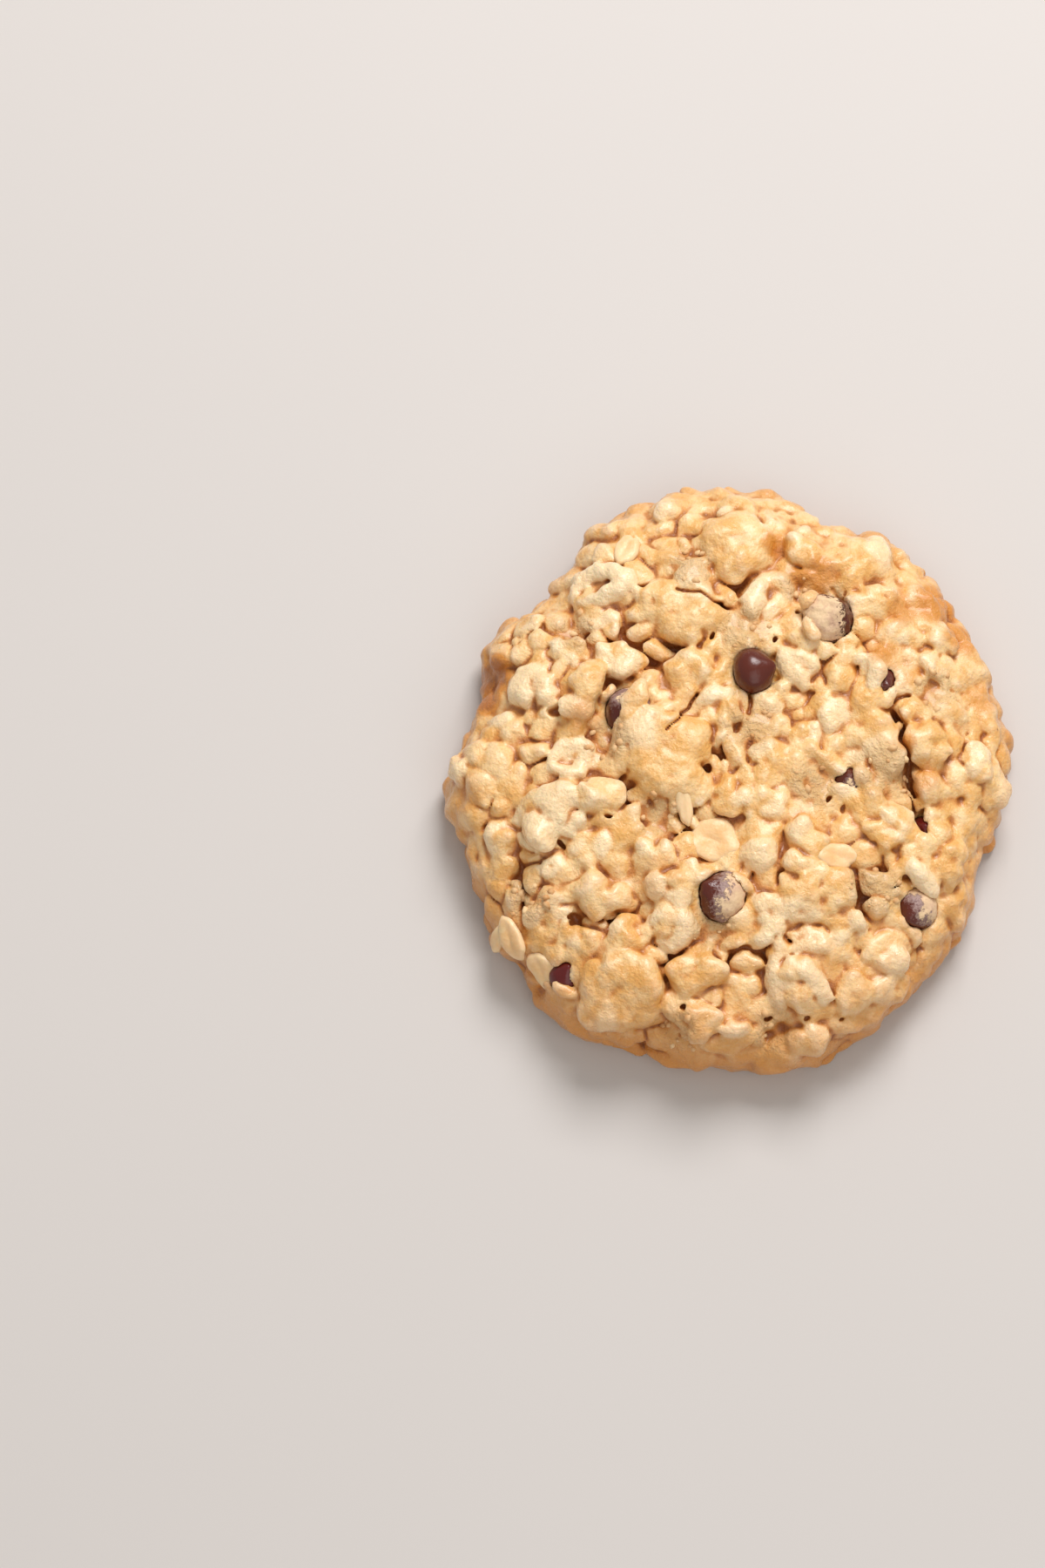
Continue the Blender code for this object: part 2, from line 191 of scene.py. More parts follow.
CHIPS = {
    "chip_bare": Chip(4.6, 16.6, 1.3, 8, 30, 1.0, ChipCoat.CLEAN, 90),
    "chip_left": Chip(-17.0, 10.0, -1.0, 160, 50, 1.05, ChipCoat.DUSTED, 90),
    "chip_upper_right": Chip(17.5, 26.0, 0.4, 30, 60, 1.15, ChipCoat.FILMED, 200),
    "chip_under_curl": Chip(26.4, 15.2, -1.8, -40, 60, 0.85, ChipCoat.DUSTED, 180),
    "chip_front": Chip(-1.0, -23.0, -0.3, 160, 40, 1.12, ChipCoat.FROSTED, -10),
    "chip_front_right": Chip(32.6, -24.2, -0.6, 250, 45, 0.98, ChipCoat.FROSTED, 35),
    "chip_buried": Chip(21.0, -2.6, -2.2, 100, 75, 0.8, ChipCoat.DUSTED, -60),
    "chip_in_gap": Chip(34.0, -10.6, -2.9, 90, 75, 0.8, ChipCoat.WARM, 90),
    "chip_by_oat": Chip(-27.6, -35.2, -1.6, 80, 75, 0.8, ChipCoat.WARM, 0),
}

# Flakes that lie flat and show bare
FLAT_OATS = (
    Oat(-17, 39, 7, 4.2, 80), Oat(-36.6, -28.6, 8.8, 4.4, 104),
    Oat(-31.2, -34.2, 7.6, 5.8, 104), Oat(-2.4, -13.2, 9.5, 7.8, -10), Oat(18.6, -16, 7.6, 5.0, -8),
    Oat(-7.6, -6.6, 8.5, 3.0, 98), Oat(-38.9, -28, 7.4, 3.0, 100),
)
# Smaller coated oats, which the solids leave out
MORE_COATED_OATS = (
    Oat(-14, 28.5, 7, 5.5, 80), Oat(-5, 45, 6.5, 5.5, 0), Oat(-11, 44.5, 6, 5.5, 0),
    Oat(9, 45, 7, 5, -20), Oat(-27, 20.5, 7.5, 4.5, -10), Oat(-27, 6.5, 5.5, 4.5, 0),
    Oat(-33.5, 3, 5.5, 4.5, 20), Oat(2, 2, 6, 5, 60), Oat(29, 24.5, 9, 4.5, 5),
    Oat(34, 30.5, 6.5, 5, -50), Oat(19.5, 17, 8, 5.5, 70), Oat(2, 21.5, 5.5, 5, 0),
    Oat(12, 18, 9, 6.5, 10), Oat(39, 17.5, 6, 5, 0), Oat(-39, -12, 6.5, 5.5, 80),
    Oat(-43.5, -11.5, 5.5, 5, 0), Oat(-10, -21.5, 8.5, 6.5, -25), Oat(7.5, -7, 6.5, 6.5, 0),
    Oat(26.5, -38.5, 9.5, 6, 62), Oat(33.5, -34.5, 4.5, 3.5, 20), Oat(14, -46.5, 9.5, 4, 8),
    Oat(25, -24.5, 4.5, 4, 0), Oat(43, 1.5, 7.5, 5.5, 80), Oat(44, 9.5, 6.5, 5, 75),
    Oat(37, 23.5, 7, 6, -40), Oat(10.5, -48, 8, 5.5, 0), Oat(-5, -43, 8, 6.5, 0),
    Oat(-29, -43, 9, 6, -45), Oat(-2, 7, 10.5, 8, 60),
    Oat(7.5, 12.5, 7.5, 5, 40), Oat(-3.5, -33.4, 8, 5, 0), Oat(3.5, -33.8, 6.5, 4.5, 10),
    Oat(14.5, -30.5, 7.5, 5.5, -30), Oat(-15.5, -30, 6.5, 5.5, 60), Oat(20.8, -28.4, 6, 5, 50),
    Oat(-22.8, -27.0, 5, 4.2, 0), Oat(-33, -23, 6.5, 5, -60),
)
# Narrow cracks in the crown
CRACKS = (
    Crevice(1.1, 0.24, (
        (-4.6, 12.7), (-5.6, 11.6), (-6.2, 10), (-7.6, 9), (-8.3, 7.4), (-10, 6.4), (-10.9, 5.2),
    )),
    Crevice(1.3, 0.40, ((3.8, 12.5), (3.8, 9.1))),
    Crevice(1.2, 0.50, ((18.6, 31.8), (20.6, 29.4), (21, 27))),
    Crevice(1.0, 0.28, (
        (-8.5, 31.2), (-7.2, 30.5), (-6, 30.2), (-4.6, 30.3), (-3.4, 29.5), (-2.2, 28.9), (-0.6, 29.2),
    )),
    Crevice(1.0, 0.40, ((28, 13.4), (28.6, 11.6), (31.4, 12.4))),
    Crevice(1.6, 0.45, ((28.6, 9.6), (30.6, 7), (30.1, 4.4), (31.4, 2), (31.0, -0.6), (32.7, -4.6))),
)
# Folds and fingers of the curled oats. A tone under zero is bare oat.
RIDGES = (
    Ridge(3.2, 0.9, -0.8, (
        (-25.9, 30.8), (-24.7, 34), (-22.5, 35.2), (-19.6, 34.7),
        (-17.2, 33), (-18.5, 31.5), (-21.3, 30), (-24.3, 29.4),
    )),
    Ridge(2.6, 0.4, -0.4, ((-25, 28.4), (-24.4, 26.4), (-21.9, 25.6), (-19.4, 27.2))),
    Ridge(2.3, 0.9, -0.7, (
        (-30.1, 1.3), (-28.7, 3.6), (-25.9, 4.5), (-23.9, 3),
        (-24.2, 0.7), (-25.9, -1.1), (-28.1, -1.3), (-29.8, -0.2),
    )),
    Ridge(1.6, 0.5, -0.5, ((-28.4, 1.9), (-26.6, 1.4), (-25.6, 2.0))),
    Ridge(2.8, 0.7, -0.7, ((-35.6, -8.9), (-33.8, -6.4), (-31, -5.2), (-27.6, -4.9), (-25.4, -6.4))),
    Ridge(2.6, 0.9, -0.9, ((-33.2, -9.8), (-30.4, -10.4), (-26.4, -10.9), (-25.2, -9))),
    Ridge(2.6, 0.4, -0.4, ((-35.5, -11.5), (-32.9, -13.5), (-29.5, -12.6))),
    Ridge(2.6, 0.8, -0.7, (
        (-13.4, -27.4), (-11.1, -26.4), (-8.3, -26.8), (-6.8, -28.6),
        (-7.9, -31.2), (-10.6, -31.7), (-12.3, -29.8),
    )),
    Ridge(3.0, 1.0, -0.8, ((22.6, 18.5), (24.6, 18), (25.7, 16.4), (25, 14.4))),
    Ridge(1.7, 0.6, -0.6, (
        (-28.9, -17.4), (-29.7, -16.1), (-31.1, -16.1), (-31.9, -17.4),
        (-31.1, -18.7), (-29.7, -18.7), (-28.9, -17.4),
    )),
    Ridge(2.2, 0.5, 1.6, ((9.9, 37), (11.4, 35), (14.2, 34.3), (17, 32.9))),
    Ridge(2.4, 0.6, 1.2, ((11.1, 38.2), (14.2, 38.8), (16.5, 37.1), (17.9, 34.7))),
    Ridge(3.2, 1.1, -1.1, ((8.2, -33.6), (8.1, -37.5), (8.7, -41.2))),
    Ridge(3.2, 1.1, -1.1, ((10.6, -34.4), (13.6, -36.4), (16.6, -39.4))),
    Ridge(2.8, 0.9, -0.9, ((9.9, -36.4), (11.2, -39), (12.6, -41.5))),
    Ridge(3.7, 1.4, -1.2, ((31.8, -17.6), (33, -19.2), (34.6, -20.9))),
    Ridge(2.2, 0.4, 1.0, ((27.6, -20.8), (29.2, -18.6), (30.6, -16.6))),
    Ridge(2.5, 0.8, -0.9, ((5.4, -30.2), (7.2, -30.6), (9.2, -31.5))),
    Ridge(2.5, 0.6, -1.0, ((-0.3, -44.7), (2.6, -44.1))),
    Ridge(2.2, 0.3, 0.8, ((40.8, -10.5), (41.8, -7.5), (41.6, -4))),
    Ridge(4.2, 0.5, -1.1, ((4.6, 27.6), (5.2, 30), (6.6, 32.4))),
    Ridge(4.4, 0.7, -1.1, ((8, 33.6), (10, 33), (10.2, 30.6))),
    Ridge(3.4, 0.5, -0.9, ((7.2, 27.6), (8.6, 29))),
)
# Flakes of the solids that are coated lumps with folds on them here
FOLDED_OATS = tuple(BARE_OATS[number] for number in (1, 2, 3, 6, 9, 11, 12, 13, 15))
# Round patches that are baked browner: middle, reach and how brown
BROWNED_PATCHES = (
    (-40.8, 18.0, 3.6, 1.9), (-41.5, 13.5, 2.6, 1.6), (8.7, 39.8, 2.4, 0.9), (16.6, 34.6, 3.4, 0.9),
    (13.2, 34.4, 2.4, 0.9), (30.8, 28.4, 3.2, 0.75), (37.2, 30.6, 4.6, 1.0), (27.0, 20.2, 3.0, 0.7),
    (29.5, 17.6, 4.6, 0.4), (41.5, 24.5, 3.6, 0.8), (-45.5, -4.0, 4.0, 0.5), (45.0, 14.0, 4.0, 0.6),
    (-24.5, 8.5, 3.5, 0.5), (-13.0, -20.0, 5.0, 0.3), (34.0, -2.0, 3.0, 0.6), (31.0, 4.0, 1.8, 0.8),
)
# Small lumps of dough that lie over the edges of the chips
COVERS = (
    Oat(-15.8, 11.6, 6.0, 4.4, 50), Oat(-14.0, 13.4, 4.2, 3.4, 10), Oat(-17.2, 8.4, 2.8, 2.2, 0),
    Oat(2.4, -21.0, 4.6, 3.2, -40), Oat(-4.4, -19.8, 3.2, 2.6, 30), Oat(20.3, -4.8, 4.6, 3.6, 0),
    Oat(22.8, -1.8, 3.8, 3.2, 60), Oat(19.2, -0.8, 3.4, 2.6, 120), Oat(14.4, 28.8, 4.6, 3.6, 40),
    Oat(14.6, 23.8, 4.4, 3.4, 100), Oat(29.8, -26.6, 3.6, 2.8, -40), Oat(-25.2, -35.4, 5.6, 4.8, 80),
    Oat(-28.2, -38.0, 3.8, 3.2, 0), Oat(-26.6, -32.2, 4.2, 3.2, 20), Oat(-28.8, -32.6, 3.0, 2.4, 60),
    Oat(31.6, -11.6, 4.6, 3.8, 70), Oat(36.6, -11.4, 4.4, 3.8, 80), Oat(34.2, -13.4, 4.4, 3.2, 0),
    Oat(35.4, -8.4, 3.2, 2.6, 40), Oat(25.0, 12.4, 4.0, 3.2, 20), Oat(27.8, 12.8, 3.4, 2.8, 70),
)
# Pores, and one large gap at the right
HOLES = (
    Hole(-29.3, 9.4, 1.0, 1.9, 1.5, 20), Hole(-3.8, -0.6, 0.8, 2.2, 1.5, 50),
    Hole(34.0, -10.2, 2.6, 4.2, 1.2, 80), Hole(-28.6, -13.4, 0.6, 1.8, 2.2, -60),
    Hole(-26.6, -26.0, 0.5, 1.6, 2.2, 20), Hole(-20.5, -9.0, 0.45, 1.8, 1.6, 0),
    Hole(-7.5, -41.0, 0.5, 1.4, 1.3, 20), Hole(-10.5, -36.5, 0.7, 1.2, 1.5, 80),
    Hole(6.8, -43.4, 0.45, 1.1, 1.8, 20), Hole(13.5, -43.0, 0.5, 1.1, 1.6, 50),
    Hole(19.5, -42.6, 0.4, 1.0, 1.4, 0), Hole(-15.8, -43.5, 0.5, 1.1, 1.2, 0),
    Hole(-8.5, -45.5, 0.6, 1.2, 1.6, 100), Hole(17.4, -6.2, 0.45, 1.2, 2.0, 60),
    Hole(20.0, -8.0, 0.5, 1.3, 1.6, 80), Hole(12.5, 27.0, 0.45, 1.2, 1.7, 30),
    Hole(28.5, -21.0, 0.5, 1.4, 2.2, 30), Hole(3.0, -31.6, 0.6, 1.4, 2.4, 5),
    Hole(-24.0, 24.0, 0.6, 1.2, 1.4, 10), Hole(-24.6, -3.6, 0.5, 1.6, 1.8, 90),
    Hole(8.4, 22.4, 0.5, 1.2, 1.6, 40), Hole(-2.6, 22.8, 0.5, 1.6, 1.6, 60),
)
# Round patches of plain mealy dough between the lumps: middle and reach
MEALY_PATCHES = (
    (-20.4, 5.1, 4.0), (4.1, 6.8, 4.6), (3.4, 24.7, 4.6), (27.2, -0.5, 5.2), (14.9, -3.3, 4.2),
    (25.0, -20.8, 4.6), (-12.2, -8.9, 3.6), (-2.7, -28.5, 4.0), (-33.3, -22.9, 4.0), (-25.8, 24.7, 3.6),
    (-8.2, -45.3, 3.2), (8.1, -45.3, 3.6), (-6.1, 36.0, 4.0), (36.0, 14.0, 3.6), (12.0, 33.0, 3.0),
)
# Round patches where the crust is smoother: middle and reach
SMOOTH_PATCHES = (
    (-10.5, 3.0, 9.0), (-20.0, -37.0, 9.0), (-2.0, -44.0, 10.0), (14.0, -44.0, 9.0), (28.0, -36.0, 8.0),
    (-30.0, -42.0, 8.0), (26.0, 4.0, 6.0), (5.0, 22.0, 5.0),
)


@dataclass(frozen=True)
class Skin:
    """The smooth skin of the dough before anything grows on it."""

    outline: tuple[float, ...] = (
        49.0, 49.0, 50.0, 50.5, 52.5, 51.5, 50.5, 53.5, 53.0, 52.0,
        50.5, 45.0, 48.0, 46.5, 45.5, 48.5, 47.5, 46.5, 49.5, 49.0,
        51.5, 50.0, 50.5, 51.5, 52.5, 50.5, 49.5, 49.0, 47.5, 47.0,
    )
    oats_past_dough: float = 1.1
    crown_height: float = 18.4
    widest_height: float = 5.2
    underside_share: float = 0.925
    crown_flatness: float = 3.4
    flank_roundness: float = 2.1
    profile_steps: int = 240
    swell_waves: int = 9
    swell_shortest: float = 11.0
    swell_growth: float = 0.13
    swell_height: float = 0.62
    step: float = 0.004

    def outline_radius(self, angle: Array | float) -> Array:
        """Reach of the outline at an angle, on a smooth closed curve.

        Args:
            angle: Turn from +X, in radians.

        Returns:
            The distance from the middle, in millimetres.
        """
        count = len(self.outline)
        place = (np.asarray(angle) % math.tau) / math.tau * count
        start = np.floor(place).astype(int)
        f = place - start
        reach = np.array(self.outline) - self.oats_past_dough
        a, b, c, d = (reach[(start + step) % count] for step in (-1, 0, 1, 2))
        bend = (2 * a - 5 * b + 4 * c - d) * f**2 + (3 * b - a - 3 * c + d) * f**3
        return b + 0.5 * ((c - a) * f + bend)

    def profile(self) -> tuple[Array, Array, Array]:
        """The side profile from the crown to the middle of the underside.

        Returns:
            Shares of the outline's reach, heights, and the share of the skin's area up to each point.
        """
        turn = np.linspace(0, math.pi / 2, self.profile_steps)
        rise = self.crown_height - self.widest_height
        crown_share = np.sin(turn) ** (2 / self.crown_flatness)
        crown_height = self.widest_height + rise * np.cos(turn) ** (2 / self.flank_roundness)
        under_share = self.underside_share + (1 - self.underside_share) * np.cos(turn)
        under_height = self.widest_height * (1 - np.sin(turn))
        inwards = np.linspace(self.underside_share, 0, self.profile_steps)[1:]
        share = np.concatenate([crown_share, under_share[1:], inwards])
        height = np.concatenate([crown_height, under_height[1:], np.zeros(self.profile_steps - 1)])
        run = np.hypot(np.diff(share) * np.mean(self.outline), np.diff(height))
        area = np.concatenate([[0], np.cumsum(run * (share[1:] + share[:-1]))])
        return share, height, area / area[-1]

    def point(self, angle: Array | float, area_share: Array | float) -> Array:
        """Point of the skin.

        Args:
            angle: Turn from +X, in radians.
            area_share: Share of the skin's area out from the crown.

        Returns:
            The point in millimetres.
        """
        share, height, area = self.profile()
        reach = self.outline_radius(angle) * np.interp(area_share, area, share)
        level = np.interp(area_share, area, height)
        return np.stack([reach * np.cos(angle), reach * np.sin(angle), level], axis=-1)

    def area_share_at(self, x: float, y: float) -> float:
        """How far out from the crown the skin over a place in the plan is.

        Args:
            x: Place along X, in millimetres.
            y: Place along Y, in millimetres.

        Returns:
            The share of the skin's area up to there.
        """
        share, _, area = self.profile()
        out = math.hypot(x, y) / float(self.outline_radius(math.atan2(y, x)))
        return float(np.interp(out, share[: self.profile_steps], area[: self.profile_steps]))

    def swell(self, x: Array, y: Array, z: Array) -> Array:
        """How far the skin stands out: long waves that cross each other all ways.

        Args:
            x: Places along X, in millimetres.
            y: Places along Y.
            z: Places along Z.

        Returns:
            The swell at each place, in millimetres.
        """
        total = 0 * (x + y + z)
        for wave in range(self.swell_waves):
            heading = GOLDEN_ANGLE * wave
            rise = 0.6 * math.sin(2.0 * wave)
            length = self.swell_shortest * (1 + self.swell_growth * wave)
            along = x * math.cos(heading) + y * math.sin(heading) + z * rise
            total = total + np.sin(along * (math.tau / length) + 1.7 * wave)
        return self.swell_height * total / math.sqrt(self.swell_waves / 2)

    def distance(self, x: Array, y: Array, z: Array) -> Array:
        """Distance of points from the skin.

        Args:
            x: Places along X, in millimetres.
            y: Places along Y.
            z: Places along Z.

        Returns:
            The distance of each in millimetres, less than zero inside.
        """
        reach = self.outline_radius(np.arctan2(y, x))
        out = np.hypot(x, y) / reach
        rise = self.crown_height - self.widest_height
        up = np.maximum(z - self.widest_height, 0) / rise
        p, q = self.crown_flatness, self.flank_roundness
        value = out**p + up**q - 1
        slope = np.hypot(p * out ** (p - 1) / reach, q * up ** (q - 1) / rise)
        crown = value / np.maximum(slope, 0.01)
        past = np.maximum(out - self.underside_share, 0) / (1 - self.underside_share)
        down = (self.widest_height - z) / self.widest_height
        value = past**2 + down**2 - 1
        slope = np.hypot(2 * past / ((1 - self.underside_share) * reach), 2 * down / self.widest_height)
        flank = value / np.maximum(slope, 0.05)
        return np.clip(np.where(z >= self.widest_height, crown, flank), -6, 6)

    def frame(self, angle: float, area_share: float) -> Frame:
        """Point, outward normal and sideways direction of the skin.

        Args:
            angle: Turn from +X, in radians.
            area_share: Share of the skin's area out from the crown.

        Returns:
            The point in millimetres, and two unit vectors.
        """
        inner = self.point(angle, max(0, area_share - self.step))
        outwards = self.point(angle, area_share + self.step) - inner
        sideways = np.array([-math.sin(angle), math.cos(angle), 0.0])
        normal = np.cross(outwards, sideways)
        return self.point(angle, area_share), normal / np.linalg.norm(normal), sideways

    def frame_over(self, x: float, y: float) -> Frame:
        """Frame of the skin over a place, sunk where a crevice passes and lifted by the swell.

        Args:
            x: Place along X, in millimetres.
            y: Place along Y, in millimetres.

        Returns:
            The point in millimetres, the outward normal and the sideways direction.
        """
        point, normal, sideways = self.frame(math.atan2(y, x), self.area_share_at(x, y))
        depth = float(crevice_depth(CREVICES, point[0], point[1]))
        depth *= float(np.clip(point[2] / self.widest_height - 1, 0, 1))
        point = point + normal * float(self.swell(*point))
        point[2] -= 0.5 * depth
        return point, normal, sideways

    def laid(self, oats: Iterable[Oat]) -> list[tuple[Frame, Oat]]:
        """Each oat with the frame of the skin under it."""
        return [(self.frame_over(oat.x, oat.y), oat) for oat in oats]


def crevice_depth(crevices: Iterable[Crevice], x: Array | float, y: Array | float) -> Array:
    """How deep the crevices are at each place in the plan.

    Args:
        crevices: The crevices that are cut.
        x: Places along X, in millimetres.
        y: Places along Y, in millimetres.

    Returns:
        The depth at each place, in millimetres.
    """
    depth = np.zeros(np.broadcast(x, y).shape)
    for crevice in crevices:
        nearest = np.full(depth.shape, np.inf)
        for (x0, y0), (x1, y1) in zip(crevice.points[:-1], crevice.points[1:]):
            run_x, run_y = x1 - x0, y1 - y0
            along = np.clip(((x - x0) * run_x + (y - y0) * run_y) / (run_x**2 + run_y**2), 0, 1)
            nearest = np.minimum(nearest, np.hypot(x - x0 - along * run_x, y - y0 - along * run_y))
        depth = np.maximum(depth, crevice.depth * np.exp(-((nearest / crevice.half_width) ** 2)))
    return depth


@dataclass
class Cells:
    """A block of cubic cells that fields are kept on."""

    low: tuple[float, float, float] = (-51.5, -55.0, -1.3)
    high: tuple[float, float, float] = (51.5, 55.5, 24.4)
    step: float = 0.33
    noise_gain: float = 2.4
    lines: list[Array] = field(default_factory=list)

    def __post_init__(self) -> None:
        """Sets out the lines of the grid."""
        for low, high in zip(self.low, self.high):
            count = int(round((high - low) / self.step)) + 1
            self.lines.append((low + self.step * np.arange(count)).astype(np.float32))

    def axes(self, window: tuple[slice, ...] | None = None) -> list[Array]:
        """Places along X, Y and Z, shaped so that they spread over the block.

        Args:
            window: The part of the block, or None for all of it.

        Returns:
            The places along each axis, in millimetres.
        """
        lines = self.lines if window is None else [line[part] for line, part in zip(self.lines, window)]
        return [self._spread(line, axis) for axis, line in enumerate(lines)]

    @staticmethod
    def _spread(line: Array, axis: int) -> Array:
        """A line of values, shaped so that it lies along one axis of the block."""
        return line.reshape([-1 if axis == i else 1 for i in range(3)])

    def window(self, centre: Array, reach: float) -> tuple[slice, ...]:
        """The part of the block around a point.

        Args:
            centre: The point, in millimetres.
            reach: How far the part goes on each side, in millimetres.

        Returns:
            The range of cells along each axis.
        """
        parts = []
        for line, middle in zip(self.lines, centre):
            first = int(np.searchsorted(line, middle - reach))
            last = int(np.searchsorted(line, middle + reach))
            parts.append(slice(first, max(last, first + 1)))
        return tuple(parts)

    def noise(self, spacing: float, seed: int) -> Array:
        """Smooth noise from a seeded lattice.

        Args:
            spacing: Spacing of the lattice, in millimetres.
            seed: Seed of the draw.

        Returns:
            A field of about -1 to 1.
        """
        draw = np.random.default_rng(seed)
        spans = [(line[-1] - line[0]) / spacing for line in self.lines]
        values = draw.uniform(-1, 1, [int(span) + 5 for span in spans]).astype(np.float32)
        for axis, line in enumerate(self.lines):
            place = (line - line[0]) / spacing
            start = np.floor(place).astype(int)
            f = (place - start).astype(np.float32)
            weights = (
                (1 - f) ** 3 / 6,
                (3 * f**3 - 6 * f**2 + 4) / 6,
                (-3 * f**3 + 3 * f**2 + 3 * f + 1) / 6,
                f**3 / 6,
            )
            shares = [self._spread(weight, axis) for weight in weights]
            values = sum(np.take(values, start + k, axis) * share for k, share in enumerate(shares))
        return values * self.noise_gain

    def blurred(self, values: Array, radius: float) -> Array:
        """A field averaged over its surroundings, by two passes of a running mean on each axis.

        Args:
            values: The field.
            radius: About how far the averaging reaches, in millimetres.

        Returns:
            The averaged field.
        """
        half = max(1, int(round(radius / self.step)))
        width = 2 * half + 1
        for axis in range(3):
            for _ in range(2):
                pad = [(half + 1, half) if axis == i else (0, 0) for i in range(3)]
                sums = np.cumsum(np.pad(values, pad, mode="edge"), axis=axis, dtype=np.float64)
                count = sums.shape[axis]
                ahead = np.take(sums, range(width, count), axis)
                behind = np.take(sums, range(0, count - width), axis)
                values = ((ahead - behind) / width).astype(np.float32)
        return values

    def sample(self, values: Array, points: Array) -> Array:
        """A field at points between the cells, blended from the eight corners around each.

        Args:
            values: The field.
            points: The points, in millimetres.

        Returns:
            The value at each point.
        """
        place = (points - np.array(self.low)) / self.step
        top = np.array(values.shape) - 2
        start = np.clip(np.floor(place).astype(int), 0, top)
        f = np.clip(place - start, 0, 1)
        total = np.zeros(len(points))
        for corner in np.ndindex(2, 2, 2):
            weight = np.prod(np.where(corner, f, 1 - f), axis=1)
            i, j, k = (start + corner).T
            total += weight * values[i, j, k]
        return total

    def skin_mesh(self, values: Array) -> tuple[Array, Array]:
        """The surface where a field passes zero.

        Args:
            values: The field.

        Returns:
            Points in millimetres, and the four-sided faces between them.
        """
        inside = values < 0
        count = np.zeros([size - 1 for size in values.shape], np.uint8)
        for corner in np.ndindex(2, 2, 2):
            part = tuple(slice(c, size - 1 + c) for c, size in zip(corner, values.shape))
            count += inside[part]
        crossed = (count > 0) & (count < 8)
        cells = np.argwhere(crossed)
        index = np.full(crossed.shape, -1, np.int32)
        index[crossed] = np.arange(len(cells))
        total = np.zeros((len(cells), 3))
        hits = np.zeros(len(cells))
        for axis in range(3):
            run = np.eye(3, dtype=int)[axis]
            for corner in np.ndindex(2, 2, 2):
                if corner[axis]:
                    continue
                start = cells + corner
                end = start + run
                a = values[start[:, 0], start[:, 1], start[:, 2]].astype(np.float64)
                b = values[end[:, 0], end[:, 1], end[:, 2]].astype(np.float64)
                cut = (a < 0) != (b < 0)
                share = np.where(cut, a / np.where(cut, a - b, 1), 0)
                total[cut] += (np.array(corner) + share[:, None] * run)[cut]
                hits += cut
        points = np.array(self.low) + (cells + total / hits[:, None]) * self.step
        faces = [self._faces_across(inside, index, axis) for axis in range(3)]
        return points, np.concatenate(faces)

    @staticmethod
    def _faces_across(inside: Array, index: Array, axis: int) -> Array:
        """Faces across the grid's edges along one axis, turned to face outwards.

        Args:
            inside: Which grid points are inside the surface.
            index: Number of the surface's point in each cell, or -1.
            axis: The axis, from 0 to 2.

        Returns:
            The point numbers of each face.
        """
        first = [slice(1, -1)] * 3
        second = [slice(1, -1)] * 3
        first[axis], second[axis] = slice(0, -1), slice(1, None)
        begins, ends = inside[tuple(first)], inside[tuple(second)]
        place = np.argwhere(begins != ends) + [0 if i == axis else 1 for i in range(3)]
        one, two = np.eye(3, dtype=int)[[(axis + 1) % 3, (axis + 2) % 3]]
        corners = [place - one - two, place - two, place, place - one]
        quads = np.stack([index[c[:, 0], c[:, 1], c[:, 2]] for c in corners], axis=1)
        outward = inside[place[:, 0], place[:, 1], place[:, 2]]
        return np.where(outward[:, None], quads, quads[:, ::-1])


def mesh_object(name: str, points: Array, faces: Array, counts: Array | None = None) -> bpy.types.Object:
    """A smooth-shaded object from arrays.

    Args:
        name: Name of the object.
        points: Points in metres.
        faces: Point numbers of the faces, one row for each face, or all in one line with counts.
        counts: How many corners each face has, where they differ.

    Returns:
        The object, linked to the scene.
    """
    mesh = bpy.data.meshes.new(name)
    corners = np.full(len(faces), faces.shape[1]) if counts is None else counts
    mesh.vertices.add(len(points))
    mesh.vertices.foreach_set("co", np.ascontiguousarray(points, np.float32).ravel())
    mesh.loops.add(int(corners.sum()))
    mesh.loops.foreach_set("vertex_index", np.ascontiguousarray(faces, np.int32).ravel())
    mesh.polygons.add(len(corners))
    starts = np.concatenate([[0], np.cumsum(corners)[:-1]]).astype(np.int32)
    mesh.polygons.foreach_set("loop_start", starts)
    mesh.update(calc_edges=True)
    mesh.validate()
    mesh.shade_smooth()
    obj = bpy.data.objects.new(name, mesh)
    bpy.context.scene.collection.objects.link(obj)
    return obj


def ring_faces(rings: int, sides: int) -> Array:
    """Four-sided faces between rings of points.

    Args:
        rings: How many rings there are.
        sides: How many points each ring has.

    Returns:
        The point numbers of each face.
    """
    number = np.arange(rings * sides).reshape(rings, sides)
    after = np.roll(number, -1, axis=1)
    return np.stack([number[:-1], after[:-1], after[1:], number[1:]], axis=-1).reshape(-1, 4)


def points_of(obj: bpy.types.Object) -> Array:
    """The object's points.

    Args:
        obj: The object.

    Returns:
        Its points in metres.
    """
    values = np.empty(3 * len(obj.data.vertices), np.float32)
    obj.data.vertices.foreach_get("co", values)
    return values.reshape(-1, 3).astype(np.float64)


def thin_out(obj: bpy.types.Object, triangles: int) -> None:
    """Brings an object's mesh down in triangles, where they tell the least.

    Args:
        obj: The object.
        triangles: About how many triangles it keeps.
    """
    now = sum(len(face.vertices) - 2 for face in obj.data.polygons)
    if now <= triangles:
        return
    thin = obj.modifiers.new("thin out", "DECIMATE")
    thin.ratio = triangles / now
    bpy.context.view_layer.update()
    evaluated = obj.evaluated_get(bpy.context.evaluated_depsgraph_get())
    mesh = bpy.data.meshes.new_from_object(evaluated)
    obj.modifiers.clear()
    obj.data = mesh
    mesh.shade_smooth()


def paint(obj: bpy.types.Object, name: str, values: Array) -> None:
    """Keeps one number for each point of the object, for its material to read."""
    layer = obj.data.attributes.new(name, "FLOAT", "POINT")
    layer.data.foreach_set("value", np.ascontiguousarray(values, np.float32))


